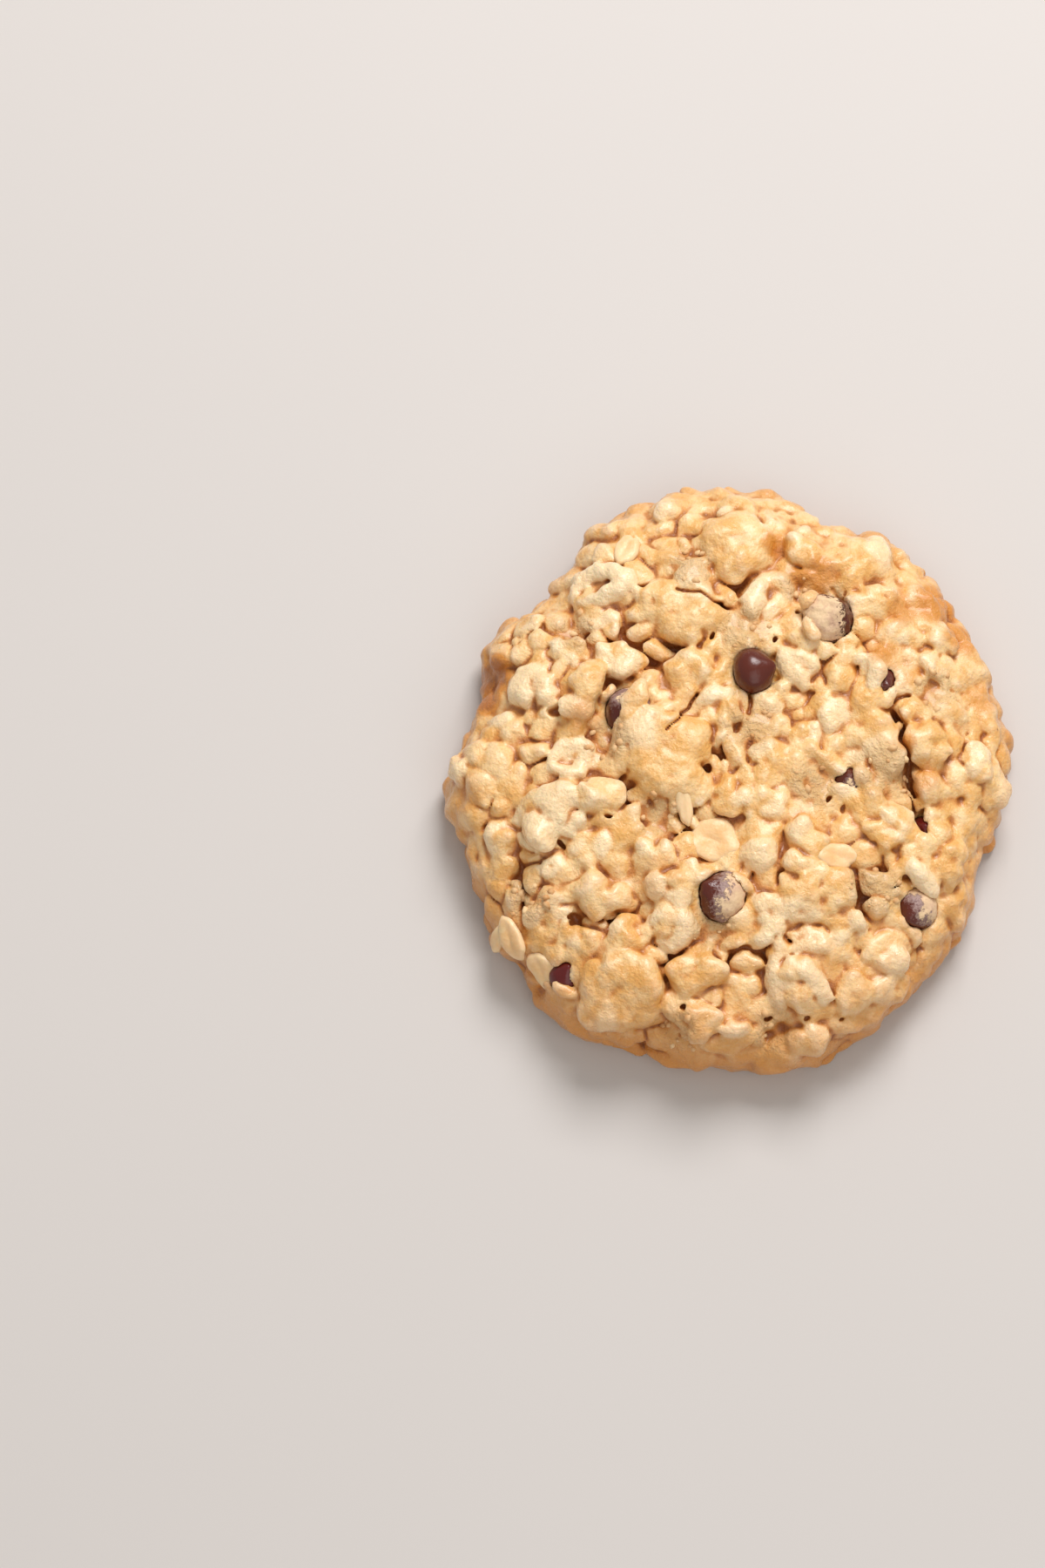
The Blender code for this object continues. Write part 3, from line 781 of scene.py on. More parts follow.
def settle(obj: bpy.types.Object, replaced: Sequence[str] = ()) -> None:
    """Ties a piece to the body, hides the nodes of the solids that it stands for, and logs its triangles.

    Args:
        obj: The piece.
        replaced: The nodes of the solids that it stands for.
    """
    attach(obj, BODY)
    if replaced:
        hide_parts(*replaced)
    triangles = sum(len(face.vertices) - 2 for face in obj.data.polygons)
    LOG.info("%s: %d triangles", obj.name, triangles)


@dataclass(frozen=True)
class Lump:
    """A rounded lump of dough, often with an oat in it, lying on the skin."""

    centre: Array
    along: Array
    across: Array
    normal: Array
    radii: tuple[float, float, float]
    blend: float
    tone: float
    turns: tuple[float, float, float]
    lobe_depths: tuple[float, ...] = (0.08, 0.07, 0.03)
    lobe_counts: tuple[int, ...] = (2, 3, 5)

    def distance(self, x: Array, y: Array, z: Array) -> Array:
        """Distance of points from the lump's uneven outside.

        Args:
            x: Places along X, in millimetres.
            y: Places along Y.
            z: Places along Z.

        Returns:
            The distance of each in millimetres, less than zero inside.
        """
        dx, dy, dz = x - self.centre[0], y - self.centre[1], z - self.centre[2]
        a, b, c = self.radii
        u, v, w = (
            (dx * axis[0] + dy * axis[1] + dz * axis[2]) / radius
            for axis, radius in ((self.along, a), (self.across, b), (self.normal, c))
        )
        angle = np.arctan2(v, u)
        lobes = 1 + sum(
            depth * np.sin(count * angle + turn)
            for depth, count, turn in zip(self.lobe_depths, self.lobe_counts, self.turns)
        )
        u, v = u / lobes, v / lobes
        near = np.sqrt(u * u + v * v + w * w)
        steep = np.sqrt((u / a) ** 2 + (v / b) ** 2 + (w / c) ** 2)
        return near * (near - 1) / np.maximum(steep, 1e-5)


@dataclass
class DoughSculpt:
    """The dough worked in cells: body, lumps, crevices, pores and beds for the chips."""

    skin: Skin
    cells: Cells = field(default_factory=Cells)
    coated_thickness: float = 3.3
    coated_sunk: float = 0.28
    coated_lift: tuple[float, float] = (-0.55, 0.35)
    coated_blend: tuple[float, float] = (0.7, 1.3)
    coated_tilt: float = 0.16
    steep_sunk: float = 0.9
    steep_blend: float = 0.9
    lump_thickness: float = 6.0
    lump_sunk: float = 1.0
    lump_longest: float = 16.5
    lump_blend: float = 1.4
    lump_room: float = 0.7
    lump_bead_rings: int = 4
    lump_bead_lift: float = 0.9
    sunk_per_length: float = 0.14
    strewn_seed: int = 41
    strewn_count: int = 56
    strewn_tries: int = 4000
    strewn_spacing: float = 0.80
    strewn_reach: float = 0.70
    strewn_length: tuple[float, float] = (6.5, 9.5)
    strewn_width: tuple[float, float] = (0.62, 0.85)
    chip_clearance: float = 5.2
    chip_room: float = 8.4
    filler_seed: int = 7
    filler_rounds: tuple[tuple[float, float, int], ...] = (
        (5.6, 0.66, 1500), (4.2, 0.66, 2500), (3.0, 0.70, 2500),
    )
    filler_reach: float = 0.71
    filler_flank: float = 0.42
    filler_flank_length: float = 4.0
    filler_blend: tuple[float, float] = (1.0, 1.9)
    filler_least: float = 0.8
    filler_flatness: float = 0.50
    filler_sunk: float = 0.06
    filler_tilt: float = 0.3
    sub_lump_seed: int = 23
    bead_counts: tuple[int, ...] = (1, 2, 2, 3, 3, 4, 5)
    bead_turn: float = 0.35
    bead_out: tuple[float, float] = (0.34, 0.62)
    bead_size: tuple[float, float] = (0.85, 1.15)
    bead_width: tuple[float, float] = (0.75, 1.0)
    bead_lift: tuple[float, float] = (0.55, 1.10)
    bead_blend: tuple[float, float] = (0.50, 0.95)
    bead_flatness: float = 0.66
    bead_tilt: float = 0.15
    ridge_taper: float = 0.22
    ridge_blend: float = 0.75
    cover_thickness: float = 2.8
    cover_lift: float = 0.1
    cover_blend: float = 0.7
    cover_tilt: float = 0.2
    bed_reach: float = 7.5
    upright: float = 0.85
    cover_reach: float = 0.8
    hole_rise: float = 0.6
    hole_extra: float = 0.9
    bead_height: float = 0.33
    bead_spacing: float = 2.3
    bead_top: float = 1.2
    bead_foot: float = 0.35
    small_bead_height: float = 0.15
    small_bead_spacing: float = 1.15
    crumb_height: float = 0.17
    crumb_spacing: float = 0.95
    pore_depth: float = 0.4
    pore_spacing: float = 1.7
    crease_depth: float = 0.45
    crease_width: float = 0.42
    crease_spacing: float = 5.0
    crevice_open: float = 0.72
    crevice_share: float = 0.28
    bare_share: float = 0.32
    bareness: float = 0.9
    warp: float = 0.50
    warp_spacing: float = 2.8
    crack_wander: float = 0.5
    crack_wander_spacing: float = 2.0
    calm: float = 0.3
    underside_pits: float = 0.45
    values: Array = field(init=False)
    tone: Array = field(init=False)
    cover: Array = field(init=False)
    bare: Array = field(init=False)
    mealy: Array = field(init=False)
    first: Array = field(init=False)
    second: Array = field(init=False)
    warped: list[Array] = field(init=False)
    taken: list[tuple[Array, float]] = field(default_factory=list)

    def work(self) -> None:
        """Builds the field from the body outwards, then cuts into it."""
        x, y, z = self.cells.axes()
        values = self.skin.distance(x, y, z)
        on_top = np.clip(z / self.skin.widest_height, 0, 1)
        values -= self.skin.swell(x, y, z) * on_top
        fade = np.clip(z / self.skin.widest_height - 1, 0, 1)
        values += self.crevice_open * crevice_depth(CREVICES, x, y) * fade
        self.values = values.astype(np.float32)
        self.tone = np.zeros_like(self.values)
        self.cover = np.zeros_like(self.values)
        self.bare = np.zeros_like(self.values)
        self.first = np.full_like(self.values, 6.0)
        self.second = np.full_like(self.values, 6.0)
        self.mealy = self._patches(MEALY_PATCHES, x, y)
        calm_share = 1 - self.calm * self._patches(SMOOTH_PATCHES, x, y)
        self.warped = [
            axis + self.warp * self.cells.noise(self.warp_spacing, seed)
            for seed, axis in enumerate((x, y, z), 100)
        ]
        self._grow_lumps()
        self._crease(x, y, calm_share)
        self._bead(calm_share)
        self._cut(z)
        del self.warped, self.first, self.second

    @staticmethod
    def _patches(patches: Iterable[tuple[float, float, float]], x: Array, y: Array) -> Array:
        """How far each place in the plan lies in one of the round patches.

        Args:
            patches: The middle and reach of each patch, in millimetres.
            x: Places along X, in millimetres.
            y: Places along Y, in millimetres.

        Returns:
            From 0 outside to 1 in the middle of a patch.
        """
        inside = np.zeros(np.broadcast(x, y).shape)
        for middle_x, middle_y, reach in patches:
            away = ((x - middle_x) ** 2 + (y - middle_y) ** 2) / reach**2
            inside = np.maximum(inside, np.exp(-(away**2)))
        return inside.astype(np.float32)

    def lump_on(
        self,
        frame: Frame,
        oat: Oat,
        thickness: float,
        lift: float,
        blend: float,
        draw: random.Random,
        tilt: float = 0.0,
    ) -> Lump:
        """A lump lying on a frame of the skin.

        Args:
            frame: Point, normal and sideways direction of the skin.
            oat: Size and heading of the lump.
            thickness: Its thickness, in millimetres.
            lift: How far its middle stands over the point.
            blend: How far it runs into the dough around it.
            draw: Seeded draw.
            tilt: How far it may lean.

        Returns:
            The lump.
        """
        point, normal, sideways = frame
        heading = math.radians(oat.heading)
        along = np.array([math.cos(heading), math.sin(heading), 0.0])
        along -= normal * (along @ normal)
        if normal[2] < 0.5:
            along = sideways * math.cos(heading) + np.cross(normal, sideways) * math.sin(heading)
        along /= np.linalg.norm(along)
        across = np.cross(normal, along)
        centre = point + normal * lift
        if tilt:
            lean = along * draw.uniform(-tilt, tilt) + across * draw.uniform(-tilt, tilt)
            normal = normal + lean
            normal /= np.linalg.norm(normal)
            along = along - normal * (along @ normal)
            along /= np.linalg.norm(along)
            across = np.cross(normal, along)
        turns = (draw.uniform(0, math.tau), draw.uniform(0, math.tau), draw.uniform(0, math.tau))
        radii = (oat.length / 2, oat.width / 2, thickness / 2)
        return Lump(centre, along, across, normal, radii, blend, draw.uniform(-1, 1), turns)

    def _grow(self, lump: Lump, creased: bool = True, bare: float = 0.0) -> None:
        """Joins one lump to the dough.

        Args:
            lump: The lump.
            creased: Whether a crease runs where it meets other lumps.
            bare: How bare its oat shows, from 0 to 1.
        """
        reach = 1.3 * max(lump.radii) + lump.blend + self.warp
        part = self.cells.window(lump.centre, reach)
        away = lump.distance(*(axis[part] for axis in self.warped))
        here = self.values[part]
        share = np.clip(0.5 + 0.5 * (here - away) / lump.blend, 0, 1)
        self.values[part] = here + (away - here) * share - lump.blend * share * (1 - share)
        self.tone[part] += (lump.tone - self.tone[part]) * share
        self.bare[part] += (bare - self.bare[part]) * share
        if creased:
            self.second[part] = np.minimum(self.second[part], np.maximum(self.first[part], away))
            self.first[part] = np.minimum(self.first[part], away)

    def _grow_lumps(self) -> None:
        """Grows small lumps, then the placed and strewn ones with beads on them, and the folds of oat."""
        draw = random.Random(self.sub_lump_seed)
        large = self.skin.laid(DOUGH_LUMPS)
        coated = self.skin.laid(COATED_OATS) + self._strewn()
        coated += self.skin.laid(MORE_COATED_OATS + FOLDED_OATS)
        for frame, oat in self._filler(coated + large):
            thickness = self.filler_flatness * oat.width + self.filler_least
            lift = -self.filler_sunk * oat.length
            blend = draw.uniform(*self.filler_blend)
            self._grow(self.lump_on(frame, oat, thickness, lift, blend, draw, self.filler_tilt))
        for frame, oat in large:
            sunk = self.lump_sunk + self.sunk_per_length * (self.lump_longest - oat.length)
            self._grow(self.lump_on(frame, oat, self.lump_thickness, -sunk, self.lump_blend, draw))
            for _ in range(self.lump_bead_rings):
                turned = oat._replace(heading=draw.uniform(0, 180))
                self._grow_beads(frame, turned, self.lump_bead_lift - sunk, draw)
        for frame, oat in coated:
            steep = 1 - self._facing_up(frame)
            lift = draw.uniform(*self.coated_lift) * (1 - steep) - self.coated_sunk - self.steep_sunk * steep
            blend = draw.uniform(*self.coated_blend) + self.steep_blend * steep
            self._grow(self.lump_on(frame, oat, self.coated_thickness, lift, blend, draw, self.coated_tilt))
            self._grow_beads(frame, oat, lift, draw)
        for ridge in RIDGES:
            self._grow_ridge(ridge, draw)
        self.cover = np.clip(1 - self.first / self.cover_reach, 0, 1)

    def _facing_up(self, frame: Frame) -> float:
        """How far the skin of a frame faces up, from 0 on a steep flank to 1 on the crown."""
        return min(1.0, max(0.0, frame[1][2]) / self.upright)

    def _is_bare(self, place: Array) -> bool:
        """Whether a bead at a place shows bare oat, which a fixed share of all places do."""
        return abs(7.13 * place[0] + 3.77 * place[1]) % 1 < self.bare_share

    def _grow_beads(self, frame: Frame, oat: Oat, lift: float, draw: random.Random) -> None:
        """Grows rounded beads in a ring on a lump, so that no two look alike.

        Args:
            frame: Point, normal and sideways direction of the skin under the lump.
            oat: Size and heading of the lump.
            lift: How far the lump's middle stands over the point.
            draw: Seeded draw.
        """
        base = self.lump_on(frame, oat, 1.0, 0.0, 1.0, draw)
        up = 0.35 + 0.65 * self._facing_up(frame)
        count = draw.choice(self.bead_counts)
        first = draw.uniform(0, math.tau)
        for number in range(count):
            angle = first + math.tau * number / count + draw.uniform(-self.bead_turn, self.bead_turn)
            out = draw.uniform(*self.bead_out)
            place = base.centre + base.along * out * base.radii[0] * math.cos(angle)
            place = place + base.across * out * base.radii[1] * math.sin(angle)
            size = draw.uniform(*self.bead_size) * oat.length / (1.1 + 0.22 * count)
            bead = Oat(0, 0, size, size * draw.uniform(*self.bead_width), draw.uniform(0, 180))
            above = lift + draw.uniform(*self.bead_lift) * up
            blend = draw.uniform(*self.bead_blend) + 0.7 * (1 - up)
            seat = (place, base.normal, frame[2])
            lump = self.lump_on(seat, bead, self.bead_flatness * size, above, blend, draw, self.bead_tilt)
            self._grow(lump, False, self.bareness if self._is_bare(place) else 0.0)

    def _grow_ridge(self, ridge: Ridge, draw: random.Random) -> None:
        """Grows a rounded fold of oat along its points, thinner towards its ends.

        Args:
            ridge: The fold.
            draw: Seeded draw.
        """
        points = np.array(ridge.points, float)
        runs = np.concatenate([[0], np.cumsum(np.hypot(*np.diff(points, axis=0).T))])
        count = max(3, int(runs[-1] / (0.22 * ridge.width)))
        for share in np.linspace(0, 1, count):
            x, y = (float(np.interp(share * runs[-1], runs, points[:, axis])) for axis in (0, 1))
            width = ridge.width * (1 - self.ridge_taper * abs(2 * share - 1) ** 3)
            bead = Oat(0, 0, width, width, 0)
            seat = self._over_chips(x, y)
            lump = self.lump_on(seat, bead, 0.9 * width, ridge.lift + 0.1, self.ridge_blend, draw)
            self._grow(replace(lump, tone=ridge.tone), False, float(ridge.tone < 0))

    def _crease(self, x: Array, y: Array, calm_share: Array) -> None:
        """Sinks the joints between lumps, unevenly, and the most where a crevice passes.

        Args:
            x: Places along X, in millimetres.
            y: Places along Y, in millimetres.
            calm_share: How much relief each place has.
        """
        near = crevice_depth([c._replace(half_width=1.5 * c.half_width) for c in CREVICES], x, y)
        near = near.astype(np.float32) * np.clip(self.cells.axes()[2] / self.skin.widest_height - 1, 0, 1)
        uneven = np.clip(0.15 + 1.1 * self.cells.noise(self.crease_spacing, 41), 0.0, 1.1) * calm_share
        depth = self.crease_depth * uneven + self.crevice_share * near
        apart = (self.second - self.first) / (self.crease_width * (1 + 0.35 * near))
        at_skin = np.maximum(self.first, 0) / (0.9 + 0.4 * near)
        self.values += depth * np.exp(-(apart**2) - at_skin**2)

    def _strewn(self) -> list[tuple[Frame, Oat]]:
        """Strews coated oats over the bare skin, by the same seeded draw as the solids.

        Returns:
            Each oat with the frame of the skin under it.
        """
        draw = random.Random(self.strewn_seed)
        laid, over = self.skin.laid, self.skin.frame_over
        self.taken = [(frame[0], oat.length) for frame, oat in laid(BARE_OATS + COATED_OATS)]
        self.taken += [(frame[0], oat.width * self.lump_room) for frame, oat in laid(DOUGH_LUMPS)]
        self.taken += [(over(chip.x, chip.y)[0], 2 * self.chip_clearance) for chip in CHIPS.values()]
        found = []
        for _ in range(self.strewn_tries):
            angle = draw.uniform(0, math.tau)
            area_share = draw.uniform(0, self.strewn_reach)
            length = draw.uniform(*self.strewn_length)
            oat = Oat(0, 0, length, length * draw.uniform(*self.strewn_width), draw.uniform(0, 180))
            frame = self.skin.frame(angle, area_share)
            if self._is_clear(frame[0], length, self.strewn_spacing) and len(found) < self.strewn_count:
                self.taken.append((frame[0], length))
                found.append((frame, oat))
        return found

    def _is_clear(self, place: Array, length: float, spacing: float) -> bool:
        """Whether an oat has room at a place.

        Args:
            place: The place, in millimetres.
            length: The oat's length.
            spacing: Share of the two lengths that it keeps from others.

        Returns:
            Whether nothing is nearer.
        """
        return all(
            np.linalg.norm(place - other) > spacing * (length + size) / 2 for other, size in self.taken
        )

    def _filler(self, grown: list[tuple[Frame, Oat]]) -> list[tuple[Frame, Oat]]:
        """Strews smaller lumps between the others, the largest first.

        Args:
            grown: The other lumps.

        Returns:
            Each smaller lump with the frame of the skin under it.
        """
        draw = random.Random(self.filler_seed)
        over = self.skin.frame_over
        self.taken = [(frame[0], oat.length) for frame, oat in grown + self.skin.laid(BARE_OATS)]
        self.taken += [(over(chip.x, chip.y)[0], self.chip_room * chip.size) for chip in CHIPS.values()]
        found = []
        for length, spacing, tries in self.filler_rounds:
            for _ in range(tries):
                area_share = draw.uniform(0, self.filler_reach)
                frame = self.skin.frame(draw.uniform(0, math.tau), area_share)
                size = length * draw.uniform(0.85, 1.2)
                oat = Oat(0, 0, size, size * draw.uniform(0.65, 0.95), draw.uniform(0, 180))
                on_flank = area_share > self.filler_flank and length < self.filler_flank_length
                left_mealy = float(self._patches(MEALY_PATCHES, *frame[0][:2])) > 0.5
                if not on_flank and not left_mealy and self._is_clear(frame[0], size, spacing):
                    self.taken.append((frame[0], size))
                    lifted = frame[0] + frame[1] * float(self.skin.swell(*frame[0]))
                    found.append(((lifted, frame[1], frame[2]), oat))
        return found

    def _bead(self, calm_share: Array) -> None:
        """Raises the skin in rounded beads with tight creases between them, and in fine crumb.

        Args:
            calm_share: How much relief each place has.
        """
        sizes = ((self.bead_spacing, self.bead_height), (self.small_bead_spacing, self.small_bead_height))
        for seed, (spacing, height) in enumerate(sizes, 11):
            beads = np.abs(self.cells.noise(spacing, seed))
            self.values -= height * (np.minimum(beads, self.bead_top) - self.bead_foot) * calm_share
        bare = 1 - 0.75 * self.cover * (1 - self.mealy)
        self.values -= self.crumb_height * self.cells.noise(self.crumb_spacing, 13) * bare
        pores = np.maximum(self.cells.noise(self.pore_spacing, 14) - 0.5, 0)
        self.values += self.pore_depth * pores * bare * calm_share

    def _cut(self, z: Array) -> None:
        """Cuts the cracks and holes, the beds of the chips, and the flat underside.

        Args:
            z: Places along Z, in millimetres.
        """
        wander, side = (
            self.crack_wander * self.cells.noise(self.crack_wander_spacing, seed) for seed in (21, 22)
        )
        above_flank = self.skin.widest_height + 2 - self.cells.low[2]
        upper = slice(int(above_flank / self.cells.step), None)
        for crack in CRACKS:
            middle = np.mean(crack.points, axis=0)
            reach = max(math.dist(middle, point) for point in crack.points) + 2
            part = (*self.cells.window(np.array([*middle, 0.0]), reach)[:2], upper)
            x, y, _ = self.cells.axes(part)
            depth = crevice_depth([crack], x + wander[part], y + side[part])
            self.values[part] += depth.astype(np.float32)
        for hole in HOLES:
            self._cut_hole(hole)
        self._cover_chips()
        for chip in CHIPS.values():
            self._bed(chip)
        pits = self.cells.noise(2.4, 31)[:, :, :1] + 0.5 * self.cells.noise(0.9, 32)[:, :, :1]
        floor = self.underside_pits * np.clip(pits - 0.35, 0, 1)
        self.values = np.maximum(self.values, floor - z).astype(np.float32)

    def _cover_chips(self) -> None:
        """Lays small lumps of dough over the chips that are partly covered."""
        draw = random.Random(self.sub_lump_seed + 1)
        sizes = (self.cover_thickness, self.cover_lift, self.cover_blend)
        for oat in COVERS:
            seat = self._over_chips(oat.x, oat.y)
            self._grow(self.lump_on(seat, oat, *sizes, draw, self.cover_tilt), False)

    def _over_chips(self, x: float, y: float) -> Frame:
        """Frame over a place as the skin gives it, lifted onto a chip where one is in the way.

        Args:
            x: Place along X, in millimetres.
            y: Place along Y, in millimetres.

        Returns:
            The point in millimetres, the outward normal and the sideways direction.
        """
        point, normal, sideways = self.skin.frame_over(x, y)
        for chip in CHIPS.values():
            body = ChipBody(chip, self.skin)
            column = np.arange(body.middle[2] + 6, body.middle[2], -0.1)
            inside = np.flatnonzero(body.distance(x, y, column) < 0)
            if len(inside):
                point = np.array([x, y, max(point[2], column[inside[0]])])
        return point, normal, sideways

    def _cut_hole(self, hole: Hole) -> None:
        """Cuts one hole, deepest in its middle.

        Args:
            hole: The hole.
        """
        point, normal, _ = self.skin.frame_over(hole.x, hole.y)
        draw = random.Random(int(hole.x * 10) * 1000 + int(hole.y * 10))
        depth = (2.0 if hole.half_width > 1 else 1.5) * hole.depth + self.hole_extra
        oat = Oat(0, 0, 2 * hole.half_width * hole.stretch, 2 * hole.half_width, hole.heading)
        seat = (point, normal, np.array([1.0, 0, 0]))
        lump = self.lump_on(seat, oat, depth, self.hole_rise, 0.5, draw)
        part = self.cells.window(lump.centre, 1.3 * max(lump.radii) + 1)
        away = lump.distance(*(axis[part] for axis in self.warped))
        self.values[part] = np.maximum(self.values[part], -away)

    def _bed(self, chip: Chip) -> None:
        """Cuts a bed that fits a chip closely.

        Args:
            chip: The chip.
        """
        body = ChipBody(chip, self.skin)
        part = self.cells.window(body.middle, self.bed_reach)
        away = body.distance(*self.cells.axes(part))
        self.values[part] = np.maximum(self.values[part], -away)

    def surface_point(self, point: Array, normal: Array, above: float = 5.0, below: float = 3.0) -> Array:
        """Where a line along the normal first meets the dough from outside.

        Args:
            point: A point near the skin.
            normal: The outward direction.
            above: How far out the line starts.
            below: How far in the line ends.

        Returns:
            The point of the dough that the line meets.
        """
        steps = np.arange(above, -below, -0.12)
        values = self.cells.sample(self.values, point + steps[:, None] * normal)
        inside = np.flatnonzero(values < 0)
        return point + steps[inside[0] if len(inside) else -1] * normal


@dataclass
class ChipBody:
    """The shape and place of one chip, for its mesh and for its bed in the dough."""

    chip: Chip
    skin: Skin
    width: float = 7.8
    flatness: float = 0.86
    tip: float = 1.1
    tip_width: float = 0.40
    gap: float = 0.08
    bed_rings: int = 48
    middle: Array = field(init=False)
    axes: Array = field(init=False)

    def __post_init__(self) -> None:
        """Works out where the chip's middle is and how it is turned."""
        chip = self.chip
        point = self.skin.frame_over(chip.x, chip.y)[0]
        self.middle = point + np.array([0, 0, chip.lift])
        heading, rise = math.radians(chip.heading), math.radians(chip.tip_rise)
        level = math.cos(rise)
        tip = Vector((math.cos(heading) * level, math.sin(heading) * level, math.sin(rise)))
        self.axes = np.array(Vector((0, 0, 1)).rotation_difference(tip).to_matrix()).T

    def outline(self, rings: int) -> tuple[Array, Array]:
        """The side profile of the round drop.

        Args:
            rings: How many points the profile has.

        Returns:
            Radii and levels from its foot to its tip, in millimetres.
        """
        reach = self.width / 2 * self.chip.size
        turn = np.linspace(0, math.pi, rings)
        tip = self.tip * self.chip.size * np.exp(-(((math.pi - turn) / self.tip_width) ** 2))
        return reach * np.sin(turn), tip - reach * self.flatness * np.cos(turn)

    def distance(self, x: Array, y: Array, z: Array) -> Array:
        """Distance of points from the drop, a gap larger all round.

        Args:
            x: Places along X, in millimetres.
            y: Places along Y.
            z: Places along Z.

        Returns:
            The distance of each in millimetres, less than zero inside.
        """
        dx, dy, dz = x - self.middle[0], y - self.middle[1], z - self.middle[2]
        u, v, w = (dx * axis[0] + dy * axis[1] + dz * axis[2] for axis in self.axes)
        radius, level = self.outline(self.bed_rings)
        out = np.hypot(u, v)
        far = np.interp(np.arctan2(out, -w), np.arctan2(radius, -level), np.hypot(radius, level))
        return np.hypot(out, w) - far - self.gap


@dataclass
class CookieDough:
    """The baked dough as one mesh, with what its material reads at each point."""

    sculpt: DoughSculpt
    triangles: int = 194_000
    scrap: int = 100
    fine_reach: float = 0.55
    fine_depth: float = 0.34
    wide_reach: float = 1.9
    wide_depth: float = 1.3
    flank_top: float = 13.0
    rim_start: float = 0.80
    rim_width: float = 0.22
    # Painted shade: where the front side starts to darken, and over how far it grows
    front_shade_start: float = 10.0
    front_shade_width: float = 35.0
    underside_edge: float = 0.9

    def build(self) -> bpy.types.Object:
        """Makes the mesh of the dough's skin.

        Returns:
            The object.
        """
        cells = self.sculpt.cells
        points, faces = cells.skin_mesh(self.sculpt.values)
        points, faces = self._without_scraps(points, faces)
        obj = mesh_object("baked_dough", points * MM, faces)
        LOG.info("dough skin: %d faces", len(faces))
        thin_out(obj, self.triangles)
        self._paint(obj)
        return obj

    def _without_scraps(self, points: Array, faces: Array) -> tuple[Array, Array]:
        """Keeps the joined surfaces that are large enough to see and drops scraps.

        Args:
            points: Points of the surfaces.
            faces: Their four-sided faces.

        Returns:
            The points and faces that are kept.
        """
        label = np.arange(len(points))
        pairs = np.concatenate([faces[:, [0, 1]], faces[:, [1, 2]], faces[:, [2, 3]], faces[:, [3, 0]]])
        while True:
            low = np.minimum(label[pairs[:, 0]], label[pairs[:, 1]])
            before = label.copy()
            np.minimum.at(label, pairs[:, 0], low)
            np.minimum.at(label, pairs[:, 1], low)
            label = label[label]
            if np.array_equal(before, label):
                break
        names, sizes = np.unique(label, return_counts=True)
        keep = np.isin(label, names[sizes > self.scrap])
        number = np.cumsum(keep) - 1
        faces = faces[keep[faces[:, 0]]]
        return points[keep], number[faces]

    def _paint(self, obj: bpy.types.Object) -> None:
        """Works out creases and hollows, which carry painted shade, knobs, which carry a painted highlight,
        tone, and browning with painted shade towards the front, at each point.

        Args:
            obj: The dough.
        """
        sculpt, cells = self.sculpt, self.sculpt.cells
        place = points_of(obj) / MM
        near = np.clip(sculpt.values, -2.0, 2.0)
        fine = cells.sample(cells.blurred(near, self.fine_reach), place)
        near = np.clip(sculpt.values, -4.0, 4.0)
        wide = cells.sample(cells.blurred(near, self.wide_reach), place)
        # Painted shade: creases, where the blurred field sinks in, are darkened to orange-brown and dark
        # brown by the material
        paint(obj, "crease", np.clip(-fine / self.fine_depth, 0, 1.5))
        # Painted highlight: the knobs, where the blurred field stands out, are lightened towards cream by
        # the material
        paint(obj, "knob_highlight", np.clip(fine / self.fine_depth, 0, 1.5))
        # The hollow mark gives mealy dough, and painted shade of dark brown in the deepest hollows
        paint(obj, "hollow", np.clip(-wide / self.wide_depth, -1, 1))
        paint(obj, "tone", cells.sample(sculpt.tone, place))
        paint(obj, "bare", cells.sample(sculpt.bare, place))
        column = np.broadcast_to(sculpt.mealy, sculpt.values.shape)
        paint(obj, "mealy", cells.sample(column, place) * np.clip(place[:, 2] / 6 - 1, 0, 1))
        angle = np.arctan2(place[:, 1], place[:, 0])
        out = np.hypot(place[:, 0], place[:, 1]) / sculpt.skin.outline_radius(angle)
        low = np.clip(1 - place[:, 2] / self.flank_top, 0, 1)
        rim = np.clip((out - self.rim_start) / self.rim_width, 0, 1)
        # Painted shade: the front side, away from the key light, is made browner; the rim and the patches
        # are real browning
        front = np.clip((-self.front_shade_start - place[:, 1]) / self.front_shade_width, 0, 1)
        bake_and_front_shade = np.clip(0.16 * rim + 0.85 * rim * low + 0.30 * front, 0, 1)
        for middle_x, middle_y, reach, share in BROWNED_PATCHES:
            away = np.hypot(place[:, 0] - middle_x, place[:, 1] - middle_y)
            bake_and_front_shade = np.maximum(bake_and_front_shade, share * np.exp(-((away / reach) ** 4)))
        paint(obj, "bake_and_front_shade", bake_and_front_shade)
        paint(obj, "under", np.clip(1 - place[:, 2] / self.underside_edge, 0, 1))


